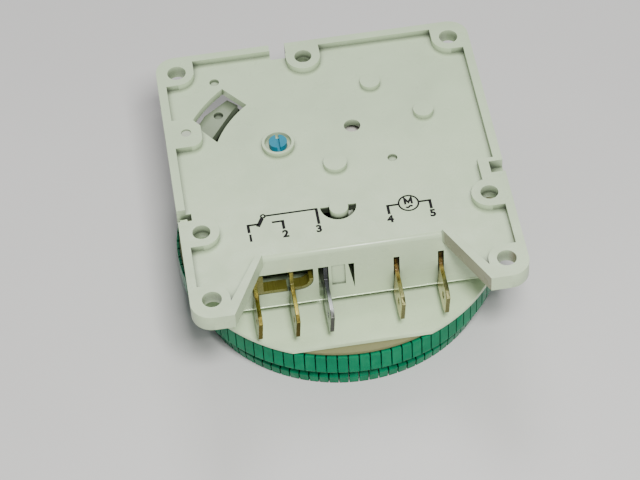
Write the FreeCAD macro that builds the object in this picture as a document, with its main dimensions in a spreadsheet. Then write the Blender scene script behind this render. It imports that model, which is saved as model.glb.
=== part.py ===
import FreeCAD, Part
import math
import os
import Sketcher

# Time switch module with a tripper dial, in millimetres.
# It lies on its dial: Z = 0 is the front plane that the tripper fingers touch, +Z points to the
# rear plate, +X to the right and +Y to the top of the plate, seen from behind.

doc = FreeCAD.newDocument("TimeSwitchModule")
sheet = doc.addObject("Spreadsheet::Sheet", "Sizes")

# Driving dimensions: alias, value, meaning
DRIVING_SIZES = (
    ("overall_depth", 36.0, "front plane of the fingers to the rear rim"),
    ("plate_width", 72.0, "rear plate across X"),
    ("plate_length", 77.8, "rear plate along Y"),
    ("plate_corner", 4.5, "corner radius of the plate"),
    ("plate_depth", 4.0, "rim top to the plate's underside"),
    ("floor_drop", 1.5, "rim top to the recessed floor"),
    ("floor_thickness", 1.8, "recessed floor"),
    ("rim_width", 1.9, "raised rim along the straight sides"),
    ("slant_rim", 1.5, "raised rim along the slanted sides of the terminal cut-out"),
    ("cutout_inner", 19.4, "half width of the cut-out at its inner edge"),
    ("cutout_outer", 27.1, "half width of the cut-out at the plate's edge"),
    ("cutout_round", 1.1, "rounding of the cut-out's inner edge"),
    ("fixing_pitch_x", 62.7, "corner holes across X"),
    ("fixing_pitch_y", 67.8, "corner holes along Y"),
    ("fixing_hole", 4.2, "corner hole diameter"),
    ("guide_hole", 3.9, "stepped hole diameter at the mouth"),
    ("guide_step", 3.0, "stepped hole diameter below"),
    ("guide_depth", 2.0, "depth of the wide part of a stepped hole"),
    ("guide_top_x", -2.3, "X of the stepped hole at the top"),
    ("guide_side_y", -14.9, "Y of the stepped holes at the sides"),
    ("pad_radius", 3.9, "raised pad round each hole"),
    ("key_width", 3.6, "keying notch in the top edge"),
    ("key_depth", 3.3, "keying notch depth"),
    ("key_x", -7.8, "X of the keying notch"),
    ("side_notch_reach", 3.1, "side notches, in from the edge"),
    ("side_notch_width", 3.3, "side notches along Y"),
    ("side_notch_depth", 2.4, "depth of the right notch"),
    ("side_slot", 1.0, "slot in the right notch, along Y"),
    ("right_notch_y", -7.7, "Y of the right notch"),
    ("left_notch_y", -9.6, "Y of the left notch"),
    ("hook_width", 2.1, "housing's hook in the left notch, along Y"),
    ("hook_height", 4.8, "arm of the hook"),
    ("hook_rise", 1.8, "nose of the hook above its arm"),
    ("blind_cap", 1.0, "material left over blind bores"),
    ("block_reach", 5.4, "raised block round the right notch, in from the edge"),
    ("block_length", 10.0, "raised block along Y"),
    ("boss_rise", 1.1, "height of the round bosses above the floor"),
    ("boss_radius", 2.25, "plain bosses"),
    ("centre_boss_radius", 2.6, "boss over the centre arbor"),
    ("setting_boss_radius", 3.6, "collar round the setting arbor"),
    ("setting_boss_wall", 0.6, "collar round the setting arbor"),
    ("top_boss_x", 11.5, "X of the upper plain boss"),
    ("top_boss_y", 23.8, "Y of the upper plain boss"),
    ("side_boss_x", 21.8, "X of the right plain boss"),
    ("side_boss_y", 12.9, "Y of the right plain boss"),
    ("view_hole", 3.7, "round hole over the second wheel"),
    ("dimple_depth", 0.7, "blind dimples in the floor"),
    ("small_dimple", 2.2, "blind dimple diameter"),
    ("half_moon_radius", 3.95, "half-moon opening"),
    ("half_moon_y", -11.45, "flat side of the half-moon opening"),
    ("sector_centre_y", 1.4, "sector window, Y of its centre"),
    ("sector_inner", 26.95, "sector window, inner radius"),
    ("sector_outer", 34.7, "sector window, outer radius"),
    ("sector_top_angle", 51.3, "sector window, upper end, from -X"),
    ("sector_low_inner", 23.5, "sector window, lower inner corner, from -X"),
    ("sector_low_outer", 30.8, "sector window, lower outer corner, from -X"),
    ("pivot_pad_reach", 8.1, "raised pad of the lever pivot, in from the edge"),
    ("pivot_pad_length", 8.6, "raised pad of the lever pivot, along Y"),
    ("pivot_pad_corner", 2.6, "corner radius of that pad"),
    ("wall_reach", 23.6, "outer face of the terminal wall and inner edge of the cut-out"),
    ("wall_thickness", 1.4, "walls of cover and housing"),
    ("wall_half_width", 27.8, "terminal wall, half width"),
    ("wall_return", 4.6, "length of the wall's side returns"),
    ("slot_width", 1.3, "terminal slots"),
    ("slot_play", 0.6, "terminal base to the top of its slot"),
    ("wide_slot_left", 7.7, "left edge of the wide third slot, towards -X"),
    ("window_left", 22.0, "left end of the wall window, towards -X"),
    ("window_right", 8.75, "right end of the wall window, towards -X"),
    ("window_height", 6.3, "wall window"),
    ("window_corner", 3.0, "lower right corner radius of the wall window"),
    ("vent_slot_x", -0.5, "X of the narrow vent slot"),
    ("vent_height", 8.1, "vent slot"),
    ("panel_recess", 0.4, "sunk panel beside the third slot"),
    ("dial_centre_y", 0.65, "Y of the dial's axis"),
    ("housing_radius", 30.0, "round part of the movement housing"),
    ("foot_wall", 1.1, "side walls of the foot"),
    ("foot_set_back", 3.4, "terminal wall's outer face to the foot's end wall"),
    ("pillar_radius", 1.4, "locating pillars of the housing, pressed into the plate"),
    ("pillar_depth", 1.3, "depth of the pillars in the plate"),
    ("housing_floor", 1.6, "front wall of the housing"),
    ("frame_sheet", 0.8, "inner frame of the movement"),
    ("frame_play", 0.2, "inner frame to the housing and the motor"),
    ("ear_overlap", 0.5, "frame's ear beyond the sector window, in and out"),
    ("ear_turn", 3.0, "frame's ear beyond the sector window, angle at each end"),
    ("ear_notch_left", 26.1, "notch in the ear, left edge, towards -X"),
    ("ear_notch_right", 20.3, "notch in the ear, right edge, towards -X"),
    ("apron_overhang", 0.7, "apron beyond the tripper band"),
    ("apron_thickness", 1.0, "apron"),
    ("apron_trim", 3.25, "apron's round edge to its straight edge"),
    ("apron_cut", 15.4, "dial axis to the apron's hidden ends"),
    ("apron_level", 13.6, "front face of the apron and housing"),
    ("fit", 0.05, "radial clearance of running fits"),
    ("gap", 0.2, "clearance between moving faces"),
    ("ring_radius", 36.8, "outer radius of the tripper band"),
    ("band_top", 12.6, "rear face of the band"),
    ("band_bottom", 7.3, "front edge of the band"),
    ("waist_set_back", 3.3, "waist between band and finger, in from the band"),
    ("waist_low", 3.3, "lower end of the waist"),
    ("finger_set_back", 2.5, "front finger, in from the band"),
    ("finger_height", 2.6, "height of the front finger's lip"),
    ("tripper_depth", 4.2, "tripper along the dial's radius"),
    ("fork_wall", 0.9, "band in front of the slot in a tripper"),
    ("tripper_travel", 1.8, "radial travel of a tripper"),
    ("tripper_gap", 0.38, "angle between two trippers"),
    ("tripper_count", 96, "trippers round the dial, one for each quarter of an hour"),
    ("loose_trippers", 12, "trippers with a node of their own"),
    ("rail_level", 8.4, "lower face of the rail that the trippers ride on"),
    ("rail_thickness", 0.8, "rail"),
    ("flange_set_back", 0.7, "rear flange of the dial, in from the band"),
    ("flange_thickness", 0.7, "rear flange of the dial"),
    ("rim_set_back", 6.2, "cylindrical wall of the dial, in from the band"),
    ("dial_wall", 1.4, "wall of the dial"),
    ("face_level", 3.0, "printed face of the dial above the front plane"),
    ("face_thickness", 1.4, "face of the dial"),
    ("hub_radius", 5.0, "hub of the dial"),
    ("dial_gear_level", 6.8, "gear under the dial"),
    ("gear_thickness", 1.0, "wheels"),
    ("hour_gear_level", 10.0, "hour wheel"),
    ("minute_gear_level", 11.8, "cannon pinion and minute wheel"),
    ("train_space", 8.0, "motor to the plate, for the gear train"),
    ("first_rise", 0.6, "motor to the first wheel"),
    ("clutch_rise", 2.2, "first wheel to the clutch wheel on the centre arbor"),
    ("second_rise", 1.7, "clutch wheel to the second wheel"),
    ("arbor_radius", 1.0, "centre arbor"),
    ("pipe_radius", 1.9, "pipe of the hour wheel"),
    ("pin_radius", 0.6, "fixed pins that the wheels turn on"),
    ("setting_x", -11.55, "X of the setting arbor"),
    ("setting_y", 8.7, "Y of the setting arbor"),
    ("setting_radius", 2.0, "setting arbor"),
    ("setting_slot_width", 0.7, "driver slot in the setting arbor"),
    ("setting_slot_depth", 1.3, "driver slot in the setting arbor"),
    ("first_x", 13.5, "X of the first wheel"),
    ("first_y", 3.4, "Y of the first wheel"),
    ("second_x", 5.5, "X of the second wheel and of the view hole"),
    ("second_y", 11.65, "Y of the second wheel and of the view hole"),
    ("motor_x", 15.5, "X of the motor"),
    ("motor_y", -6.5, "Y of the motor"),
    ("motor_radius", 9.2, "stator cup"),
    ("sheet_metal", 0.9, "stator sheet, terminals and feet"),
    ("rotor_radius", 5.4, "rotor magnet"),
    ("bobbin_bore", 5.9, "inner radius of the bobbin"),
    ("bobbin_wall", 0.6, "bobbin"),
    ("train_teeth", 36, "teeth of the three wheels of the train"),
    ("pinion_teeth", 8, "leaves of every pinion"),
    ("minute_teeth", 24, "teeth of the wheel on the setting arbor"),
    ("hour_teeth", 32, "teeth of the hour wheel"),
    ("dial_teeth", 64, "teeth of the dial gear"),
    ("tab_width", 6.3, "quick-connect tabs"),
    ("tab_reach", 32.9, "centre line of the plate to the tips of tabs 1, 4 and 5"),
    ("contact_tab_reach", 33.7, "centre line of the plate to the tips of tabs 2 and 3"),
    ("tab_lean", 0.45, "lower edge of a tab beside its upper edge, towards -X"),
    ("tab_point", 1.6, "chamfer at the tab tips, along the tab"),
    ("tab_chamfer", 0.8, "chamfer at the tab tips, across the tab"),
    ("tab_hole", 1.6, "dimple hole in a tab"),
    ("base_drop", 3.5, "plate's underside to the top of a terminal's wide base"),
    ("base_height", 10.0, "wide base of a terminal"),
    ("terminal_1_x", -21.5, "X of terminal 1"),
    ("terminal_2_x", -13.5, "X of terminal 2"),
    ("terminal_3_x", -6.1, "X of terminal 3"),
    ("terminal_4_x", 9.4, "X of terminal 4"),
    ("terminal_5_x", 19.1, "X of terminal 5"),
    ("foot_reach", 2.6, "brass feet on the sill of the wall window, along Y"),
    ("foot_upright", 1.8, "upright end of the first foot, along X"),
    ("blade_y", -16.5, "Y of the contact blade"),
    ("blade_thickness", 0.4, "contact blade"),
    ("blade_height", 3.8, "contact blade"),
    ("arm_height", 2.9, "arms that carry the fixed contacts"),
    ("blade_end", 7.4, "free end of the blade, towards -X"),
    ("contact_x", -9.6, "X of the contacts"),
    ("contact_radius", 1.1, "contact heads"),
    ("contact_closed_gap", 0.2, "rest gap to the closed contact"),
    ("contact_open_gap", 0.9, "rest gap to the open contact"),
    ("moving_contact", 2.3, "moving contact along Y"),
    ("fixed_contact", 1.0, "fixed contact heads along Y"),
    ("trip_x", -1.25, "X of the trip lever's pivot"),
    ("trip_y", -12.7, "Y of the trip lever's pivot"),
    ("trip_hub", 1.9, "hub of the trip lever"),
    ("trip_pin", 0.9, "pin of the trip lever"),
    ("prong_radius", 0.45, "prongs beside the blade"),
    ("prong_gap", 0.25, "prong to blade"),
    ("lever_x", -31.3, "X of the corner lever's pivot"),
    ("lever_y", 14.85, "Y of the corner lever's pivot"),
    ("lever_angle", 46.3, "direction of the corner lever"),
    ("lever_length", 16.7, "corner lever, pivot to tip"),
    ("lever_root", 6.0, "corner lever, width at the pivot"),
    ("lever_tip", 3.0, "corner lever, width at the tip"),
    ("lever_drop", 3.0, "plate's underside to the lower face of both levers"),
    ("lever_thickness", 2.2, "corner lever"),
    ("lever_pin", 1.15, "pivot pin of the corner lever"),
    ("hand_thickness", 0.5, "clock hands"),
    ("hour_hand_level", 1.9, "hour hand"),
    ("minute_hand_level", 1.0, "minute hand"),
    ("hour_hand_length", 10.0, "hour hand"),
    ("minute_hand_length", 15.0, "minute hand"),
)

for row, (alias, value, meaning) in enumerate(DRIVING_SIZES, start=1):
    sheet.set("A%d" % row, meaning)
    sheet.set("B%d" % row, str(value))
    sheet.setAlias("B%d" % row, alias)
doc.recompute()


class Size:
    """A size or a sum of sizes: the text that binds it to the sheet, and its value."""

    def __init__(self, text, value):
        self.text = text
        self.value = float(value)

    def __float__(self):
        return self.value

    def __int__(self):
        return int(round(self.value))

    def combine(self, other, sign, value):
        return Size("(%s %s %s)" % (self.text, sign, size_of(other).text), value)

    def __add__(self, other):
        return self.combine(other, "+", self.value + float(other))

    def __sub__(self, other):
        return self.combine(other, "-", self.value - float(other))

    def __mul__(self, other):
        return self.combine(other, "*", self.value * float(other))

    def __truediv__(self, other):
        return self.combine(other, "/", self.value / float(other))

    def __radd__(self, other):
        return size_of(other) + self

    def __rsub__(self, other):
        return size_of(other) - self

    def __rmul__(self, other):
        return size_of(other) * self

    def __rtruediv__(self, other):
        return size_of(other) / self

    def __neg__(self):
        return size_of(0) - self


def size_of(number):
    """Turn a plain number into a Size."""
    if isinstance(number, Size):
        return number
    return Size("%.12g" % number, number)


def cosine(angle):
    return Size("cos(%s)" % angle.text, math.cos(math.radians(angle.value)))


def sine(angle):
    return Size("sin(%s)" % angle.text, math.sin(math.radians(angle.value)))


class Sizes:
    """Every alias of the sheet as a Size."""


s = Sizes()
for alias, value, meaning in DRIVING_SIZES:
    setattr(s, alias, Size("Sizes." + alias, getattr(sheet, alias)))

PARTS = []


def bind(thing, path, size):
    """Bind one property of a document object to the sheet."""
    thing.setExpression(path, size_of(size).text)


def place(thing, x=0, y=0, z=0, angle=None):
    """Bind the place of a sub-part, and its turn about Z."""
    bind(thing, "Placement.Base.x", x)
    bind(thing, "Placement.Base.y", y)
    bind(thing, "Placement.Base.z", z)
    if angle is not None:
        thing.Placement = FreeCAD.Placement(
            FreeCAD.Vector(), FreeCAD.Rotation(FreeCAD.Vector(0, 0, 1), float(angle)))
        bind(thing, "Placement.Rotation.Angle", angle)


def keep(thing, name):
    """Name a sub-part and put it on the list of pieces to write."""
    thing.Label = name
    PARTS.append(thing)
    return thing


def new_body(name):
    body = doc.addObject("PartDesign::Body", name + "_body")
    return keep(body, name)


def new_sketch(body, role, level=0):
    """Empty sketch on an origin plane of its own body, moved along the plane's normal."""
    sketch = body.newObject("Sketcher::SketchObject", body.Label + "_sketch")
    plane = [item for item in body.Origin.OriginFeatures if item.Role == role][0]
    sketch.AttachmentSupport = (plane, "")
    sketch.MapMode = "FlatFace"
    bind(sketch, "AttachmentOffset.Base.z", level)
    return sketch


def fix_point(sketch, curve, end, x, y):
    """Tie one end of a curve to the sketch's origin by its two distances."""
    for kind, distance in (("DistanceX", x), ("DistanceY", y)):
        distance = size_of(distance)
        place_in_list = sketch.addConstraint(
            Sketcher.Constraint(kind, -1, 1, curve, end, distance.value))
        bind(sketch, "Constraints[%d]" % place_in_list, distance)


def arc_between(start, end, radius):
    """Arc from start to end: a positive radius turns left, a negative one right."""
    chord = end - start
    half = chord.Length / 2
    rise = math.sqrt(max(radius * radius - half * half, 0))
    left = FreeCAD.Vector(-chord.y, chord.x, 0).normalize()
    centre = (start + end) / 2 + left * math.copysign(rise, radius)
    first, last = (start, end) if radius > 0 else (end, start)
    angles = [math.atan2(point.y - centre.y, point.x - centre.x) for point in (first, last)]
    circle = Part.Circle(centre, FreeCAD.Vector(0, 0, 1), abs(radius))
    return Part.ArcOfCircle(circle, angles[0], angles[1])


def draw_outline(sketch, points):
    """Closed outline. A point is (x, y), or (x, y, radius) where an arc leaves it."""
    corners = [FreeCAD.Vector(float(point[0]), float(point[1]), 0) for point in points]
    ends = []
    for index, point in enumerate(points):
        start = corners[index]
        end = corners[(index + 1) % len(points)]
        if len(point) == 2:
            curve = sketch.addGeometry(Part.LineSegment(start, end), False)
            ends.append((curve, 1, 2))
        else:
            radius = float(point[2])
            curve = sketch.addGeometry(arc_between(start, end, radius), False)
            ends.append((curve, 1, 2) if radius > 0 else (curve, 2, 1))
    for index, (curve, first, last) in enumerate(ends):
        following = ends[(index + 1) % len(ends)]
        sketch.addConstraint(Sketcher.Constraint("Coincident", curve, last, following[0], following[1]))
    for (curve, first, last), point in zip(ends, points):
        fix_point(sketch, curve, first, point[0], point[1])
        if len(point) == 3:
            radius = point[2] if float(point[2]) > 0 else -size_of(point[2])
            radius = size_of(radius)
            index = sketch.addConstraint(Sketcher.Constraint("Radius", curve, radius.value))
            bind(sketch, "Constraints[%d]" % index, radius)


def draw_circle(sketch, x, y, radius):
    centre = FreeCAD.Vector(float(x), float(y), 0)
    circle = Part.Circle(centre, FreeCAD.Vector(0, 0, 1), float(radius))
    curve = sketch.addGeometry(circle, False)
    fix_point(sketch, curve, 3, x, y)
    radius = size_of(radius)
    index = sketch.addConstraint(Sketcher.Constraint("Radius", curve, radius.value))
    bind(sketch, "Constraints[%d]" % index, radius)


def draw_box(sketch, x_low, x_high, y_low, y_high):
    draw_outline(sketch, [(x_low, y_low), (x_high, y_low), (x_high, y_high), (x_low, y_high)])


def pad(body, sketch, length, towards_minus=False):
    feature = body.newObject("PartDesign::Pad", body.Label + "_pad")
    feature.Profile = sketch
    bind(feature, "Length", length)
    feature.Reversed = towards_minus
    return feature


def pocket(body, sketch, depth, towards_plus=False):
    """Cut from the sketch plane against its normal, or along it."""
    feature = body.newObject("PartDesign::Pocket", body.Label + "_pocket")
    feature.Profile = sketch
    bind(feature, "Length", depth)
    feature.Reversed = towards_plus
    return feature


def revolve(body, sketch, angle=None):
    """Turn a profile about the sketch's vertical axis, all round or evenly to both sides."""
    feature = body.newObject("PartDesign::Revolution", body.Label + "_turned")
    feature.Profile = sketch
    feature.ReferenceAxis = (sketch, ["V_Axis"])
    if angle is None:
        feature.Angle = 360
    else:
        feature.Midplane = True
        bind(feature, "Angle", angle)
    return feature


def turned_body(name, profiles, x, y):
    """Body of revolution about a vertical axis at x, y, from (radius, level) profiles."""
    body = new_body(name)
    for points in profiles:
        sketch = new_sketch(body, "XZ_Plane")
        draw_outline(sketch, points)
        revolve(body, sketch)
    place(body, x, y)
    return body


def ring_profile(inner, outer, low, high):
    return [(inner, low), (outer, low), (outer, high), (inner, high)]


def pad_box(body, x_low, x_high, y_low, y_high, z_low, height):
    sketch = new_sketch(body, "XY_Plane", z_low)
    draw_box(sketch, x_low, x_high, y_low, y_high)
    return pad(body, sketch, height)


def pad_disc(body, x, y, radius, z_low, height):
    sketch = new_sketch(body, "XY_Plane", z_low)
    draw_circle(sketch, x, y, radius)
    return pad(body, sketch, height)


def drill(body, holes, radius, z_top, depth):
    """Round holes of one radius, cut downwards from a level."""
    sketch = new_sketch(body, "XY_Plane", z_top)
    for x, y in holes:
        draw_circle(sketch, x, y, radius)
    return pocket(body, sketch, depth)


# Places that several pieces share
rear = s.overall_depth
floor_level = rear - s.floor_drop
under_plate = rear - s.plate_depth
under_floor = floor_level - s.floor_thickness
half_width = s.plate_width / 2
half_length = s.plate_length / 2
fixing_x = s.fixing_pitch_x / 2
fixing_y = s.fixing_pitch_y / 2
boss_top = floor_level + s.boss_rise
boss_base = floor_level - s.gap
dial_y = s.dial_centre_y
housing_top = under_floor
housing_inside = s.apron_level + s.housing_floor
foot_end = s.wall_reach - s.foot_set_back
foot_half_width = s.wall_half_width - s.wall_thickness - s.gap
base_top = under_plate - s.base_drop
tab_bottom = base_top - s.base_height
wall_bottom = tab_bottom - s.gap
slot_top = base_top + s.slot_play
window_bottom = slot_top - s.window_height
lever_level = under_plate - s.lever_drop
motor_height = under_plate - housing_inside - s.train_space
first_level = housing_inside + motor_height + s.first_rise
clutch_level = first_level + s.clutch_rise
second_level = clutch_level + s.second_rise
apron_radius = s.ring_radius + s.apron_overhang
apron_reach = apron_radius - s.apron_trim
rail_radius = s.ring_radius - s.fork_wall - s.tripper_travel - s.gap / 2
rim_radius = s.ring_radius - s.rim_set_back
tripper_inner = s.ring_radius - s.tripper_depth
pitch_angle = 360 / s.tripper_count
CENTRE = (size_of(0), dial_y)
SETTING = (s.setting_x, s.setting_y)
MOTOR = (s.motor_x, s.motor_y)
FIRST = (s.first_x, s.first_y)
SECOND = (s.second_x, s.second_y)
PILLARS = ((s.top_boss_x, s.top_boss_y), (s.side_boss_x, s.side_boss_y))


def plate_outline():
    """Plate with round corners and the trapezoid cut-out for the terminals."""
    corner = s.plate_corner
    return [
        (-half_width + corner, -half_length),
        (-s.cutout_outer, -half_length),
        (-s.cutout_inner, -s.wall_reach),
        (s.cutout_inner, -s.wall_reach),
        (s.cutout_outer, -half_length),
        (half_width - corner, -half_length, corner),
        (half_width, -half_length + corner),
        (half_width, half_length - corner, corner),
        (half_width - corner, half_length),
        (-half_width + corner, half_length, corner),
        (-half_width, half_length - corner),
        (-half_width, -half_length + corner, corner),
    ]


def rim_outline():
    """Raised rim, open along the inner edge of the terminal cut-out."""
    corner = s.plate_corner
    inner_x = half_width - s.rim_width
    inner_y = half_length - s.rim_width
    return [
        (s.cutout_inner, -s.wall_reach),
        (s.cutout_outer, -half_length),
        (half_width - corner, -half_length, corner),
        (half_width, -half_length + corner),
        (half_width, half_length - corner, corner),
        (half_width - corner, half_length),
        (-half_width + corner, half_length, corner),
        (-half_width, half_length - corner),
        (-half_width, -half_length + corner, corner),
        (-half_width + corner, -half_length),
        (-s.cutout_outer, -half_length),
        (-s.cutout_inner, -s.wall_reach),
        (-s.cutout_inner - s.slant_rim, -s.wall_reach),
        (-s.cutout_outer - s.slant_rim, -inner_y),
        (-inner_x, -inner_y),
        (-inner_x, inner_y),
        (inner_x, inner_y),
        (inner_x, -inner_y),
        (s.cutout_outer + s.slant_rim, -inner_y),
        (s.cutout_inner + s.slant_rim, -s.wall_reach),
    ]


def add_hole_pads(body):
    """Raised pads that tie the screw holes and stepped holes to the rim."""
    for side_x in (-1, 1):
        for side_y in (-1, 1):
            x = fixing_x * side_x
            y = fixing_y * side_y
            pad_disc(body, x, y, s.pad_radius, boss_base, s.floor_drop + s.gap)
            sketch = new_sketch(body, "XY_Plane", boss_base)
            edge_x = (half_width - s.rim_width + s.gap) * side_x
            edge_y = (half_length - s.rim_width + s.gap) * side_y
            inner = [(x, y - s.pad_radius * side_y), (edge_x, y - s.pad_radius * side_y),
                     (edge_x, edge_y), (x - s.pad_radius * side_x, edge_y),
                     (x - s.pad_radius * side_x, y)]
            draw_outline(sketch, inner if side_x * side_y > 0 else inner[::-1])
            pad(body, sketch, s.floor_drop + s.gap)
    add_side_pads(body)


def add_side_pads(body):
    """Pads of the three stepped holes, straight to the nearest edge."""
    height = s.floor_drop + s.gap
    for side in (-1, 1):
        x = fixing_x * side
        pad_disc(body, x, s.guide_side_y, s.pad_radius, boss_base, height)
        ends = sorted([x, (half_width - s.rim_width / 2) * side], key=float)
        pad_box(body, ends[0], ends[1], s.guide_side_y - s.pad_radius,
                s.guide_side_y + s.pad_radius, boss_base, height)
    pad_disc(body, s.guide_top_x, fixing_y, s.pad_radius, boss_base, height)
    pad_box(body, s.guide_top_x - s.pad_radius, s.guide_top_x + s.pad_radius,
            fixing_y, half_length - s.rim_width / 2, boss_base, height)
    pad_box(body, half_width - s.block_reach, half_width - s.rim_width / 2, s.guide_side_y,
            s.guide_side_y + s.block_length, boss_base, height)


def add_pivot_pad(body):
    """Pad of the corner lever's pivot, rounded on its inner side."""
    x = -half_width + s.pivot_pad_reach
    low = s.lever_y - s.pivot_pad_length / 2
    high = s.lever_y + s.pivot_pad_length / 2
    corner = s.pivot_pad_corner
    sketch = new_sketch(body, "XY_Plane", boss_base)
    draw_outline(sketch, [
        (-half_width + s.rim_width / 2, low),
        (x - corner, low, corner),
        (x, low + corner),
        (x, high - corner, corner),
        (x - corner, high),
        (-half_width + s.rim_width / 2, high),
    ])
    pad(body, sketch, s.floor_drop + s.gap)


def add_bosses(body):
    """Round bosses on the floor over the pivots inside."""
    rise = s.boss_rise + s.gap
    pad_disc(body, 0, dial_y, s.centre_boss_radius, boss_base, rise)
    pad_disc(body, s.top_boss_x, s.top_boss_y, s.boss_radius, boss_base, rise)
    pad_disc(body, s.side_boss_x, s.side_boss_y, s.boss_radius, boss_base, rise)
    pad_disc(body, s.setting_x, s.setting_y, s.setting_boss_radius, boss_base, rise)


def sector_corner(radius, angle):
    """Place round the sector window's centre, with the angle counted from -X."""
    return (-radius * cosine(angle), s.sector_centre_y + radius * sine(angle))


def sector_outline():
    """Window round the dial, with a slanted lower end."""
    low_inner = sector_corner(s.sector_inner, s.sector_low_inner)
    low_outer = sector_corner(s.sector_outer, s.sector_low_outer)
    top_outer = sector_corner(s.sector_outer, s.sector_top_angle)
    top_inner = sector_corner(s.sector_inner, s.sector_top_angle)
    return [low_inner, low_outer + (-s.sector_outer,), top_outer, top_inner + (s.sector_inner,)]


def cut_plate_openings(body):
    """Sector window, notches, screw holes, stepped holes, the arbor's collar and dimples."""
    through = s.plate_depth + 1
    sketch = new_sketch(body, "XY_Plane", rear)
    draw_outline(sketch, sector_outline())
    pocket(body, sketch, through)
    sketch = new_sketch(body, "XY_Plane", rear)
    draw_box(sketch, s.key_x - s.key_width / 2, s.key_x + s.key_width / 2,
             half_length - s.key_depth, half_length + 1)
    pocket(body, sketch, through)
    low = s.left_notch_y - s.side_notch_width / 2
    sketch = new_sketch(body, "XY_Plane", rear)
    draw_box(sketch, -half_width - 1, -half_width + s.side_notch_reach, low, low + s.side_notch_width)
    pocket(body, sketch, through)
    low = s.right_notch_y - s.side_notch_width / 2
    inner = half_width - s.side_notch_reach
    sketch = new_sketch(body, "XY_Plane", rear)
    draw_box(sketch, inner, half_width + 1, low, low + s.side_notch_width)
    pocket(body, sketch, s.side_notch_depth)
    sketch = new_sketch(body, "XY_Plane", rear)
    low = low + s.side_slot / 2
    draw_box(sketch, inner + s.gap, inner + s.side_notch_reach / 2, low, low + s.side_slot)
    pocket(body, sketch, through)
    corners = [(fixing_x * a, fixing_y * b) for a in (-1, 1) for b in (-1, 1)]
    drill(body, corners, s.fixing_hole / 2, rear, through)
    guides = [(s.guide_top_x, fixing_y), (-fixing_x, s.guide_side_y), (fixing_x, s.guide_side_y)]
    drill(body, guides, s.guide_hole / 2, rear, s.guide_depth)
    drill(body, guides, s.guide_step / 2, rear, through)
    drill(body, [(s.second_x, s.second_y)], s.view_hole / 2, rear, through)
    drill(body, [SETTING], s.setting_boss_radius - s.setting_boss_wall, rear, s.floor_drop)
    drill(body, [SETTING], s.setting_radius + s.fit, rear, through)
    drill(body, [(s.lever_x, s.lever_y)], s.lever_pin, rear, through)
    dimples = [(-23.2, 30.8), (12.7, 0.4)]
    drill(body, dimples, s.small_dimple / 2, floor_level, s.dimple_depth)


def round_cutout_edge(body):
    """Rounding between the sunk floor and the terminal wall."""
    radius = s.cutout_round
    sketch = new_sketch(body, "YZ_Plane", -s.cutout_inner)
    draw_outline(sketch, [(-s.wall_reach + radius, floor_level, radius),
                          (-s.wall_reach, floor_level - radius),
                          (-s.wall_reach - 1, floor_level - radius),
                          (-s.wall_reach - 1, floor_level + 1),
                          (-s.wall_reach + radius, floor_level + 1)])
    pocket(body, sketch, s.cutout_inner * 2, towards_plus=True)


def add_trip_boss(body):
    """Half-moon opening, and the boss that overhangs it from its flat side."""
    sketch = new_sketch(body, "XY_Plane", rear)
    radius = s.half_moon_radius
    draw_outline(sketch, [(s.trip_x - radius, s.half_moon_y, radius),
                          (s.trip_x, s.half_moon_y - radius, radius),
                          (s.trip_x + radius, s.half_moon_y)])
    pocket(body, sketch, s.plate_depth + 1)
    pad_disc(body, s.trip_x, s.trip_y, s.boss_radius - s.gap, under_plate, boss_top - under_plate)


def cut_pivot_bores(body):
    """Blind bores from below: arbor, trip lever's pin, rotor shaft and the housing's pillars."""
    for x, y, radius, top in (
            (*CENTRE, s.arbor_radius + s.fit, boss_top - s.blind_cap),
            (s.trip_x, s.trip_y, s.trip_pin, boss_top - s.blind_cap),
            (*MOTOR, s.pin_radius + s.fit, floor_level - s.blind_cap),
            (*PILLARS[0], s.pillar_radius, under_floor + s.pillar_depth),
            (*PILLARS[1], s.pillar_radius, under_floor + s.pillar_depth)):
        sketch = new_sketch(body, "XY_Plane", under_plate)
        draw_circle(sketch, x, y, radius)
        pocket(body, sketch, top - under_plate, towards_plus=True)


def add_terminal_wall(body):
    """Wall behind the terminals, with short returns at its ends."""
    x = s.wall_half_width
    t = s.wall_thickness
    y = -s.wall_reach
    sketch = new_sketch(body, "XY_Plane", wall_bottom)
    draw_outline(sketch, [(-x, y), (x, y), (x, y + s.wall_return), (x - t, y + s.wall_return),
                          (x - t, y + t), (-x + t, y + t), (-x + t, y + s.wall_return),
                          (-x, y + s.wall_return)])
    pad(body, sketch, under_floor - wall_bottom + s.gap)


def cut_wall_openings(body):
    """Terminal slots open at the wall's lower edge, the window, the vent and the sunk panel."""
    depth = s.wall_thickness + 1
    front = s.wall_reach + 0.5
    centres = [s.terminal_1_x, s.terminal_2_x, s.terminal_3_x, s.terminal_4_x, s.terminal_5_x]
    for x in centres:
        left = -s.wide_slot_left if x is s.terminal_3_x else x - s.slot_width / 2
        sketch = new_sketch(body, "XZ_Plane", front)
        draw_box(sketch, left, x + s.slot_width / 2, wall_bottom - 1, slot_top)
        pocket(body, sketch, depth)
    sketch = new_sketch(body, "XZ_Plane", front)
    draw_outline(sketch, [(-s.window_left, window_bottom),
                          (-s.window_right - s.window_corner, window_bottom, s.window_corner),
                          (-s.window_right, window_bottom + s.window_corner),
                          (-s.window_right, slot_top),
                          (-s.window_left, slot_top)])
    pocket(body, sketch, depth)
    sketch = new_sketch(body, "XZ_Plane", front)
    draw_outline(sketch, [(s.vent_slot_x + s.slot_width / 2, slot_top - s.vent_height),
                          (s.vent_slot_x + s.slot_width / 2, slot_top),
                          (s.vent_slot_x - s.slot_width / 2, slot_top)])
    pocket(body, sketch, depth)
    sketch = new_sketch(body, "XZ_Plane", front)
    draw_box(sketch, s.terminal_3_x + s.slot_width, s.vent_slot_x - s.slot_width,
             window_bottom, slot_top)
    pocket(body, sketch, s.panel_recess + 0.5)


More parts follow.
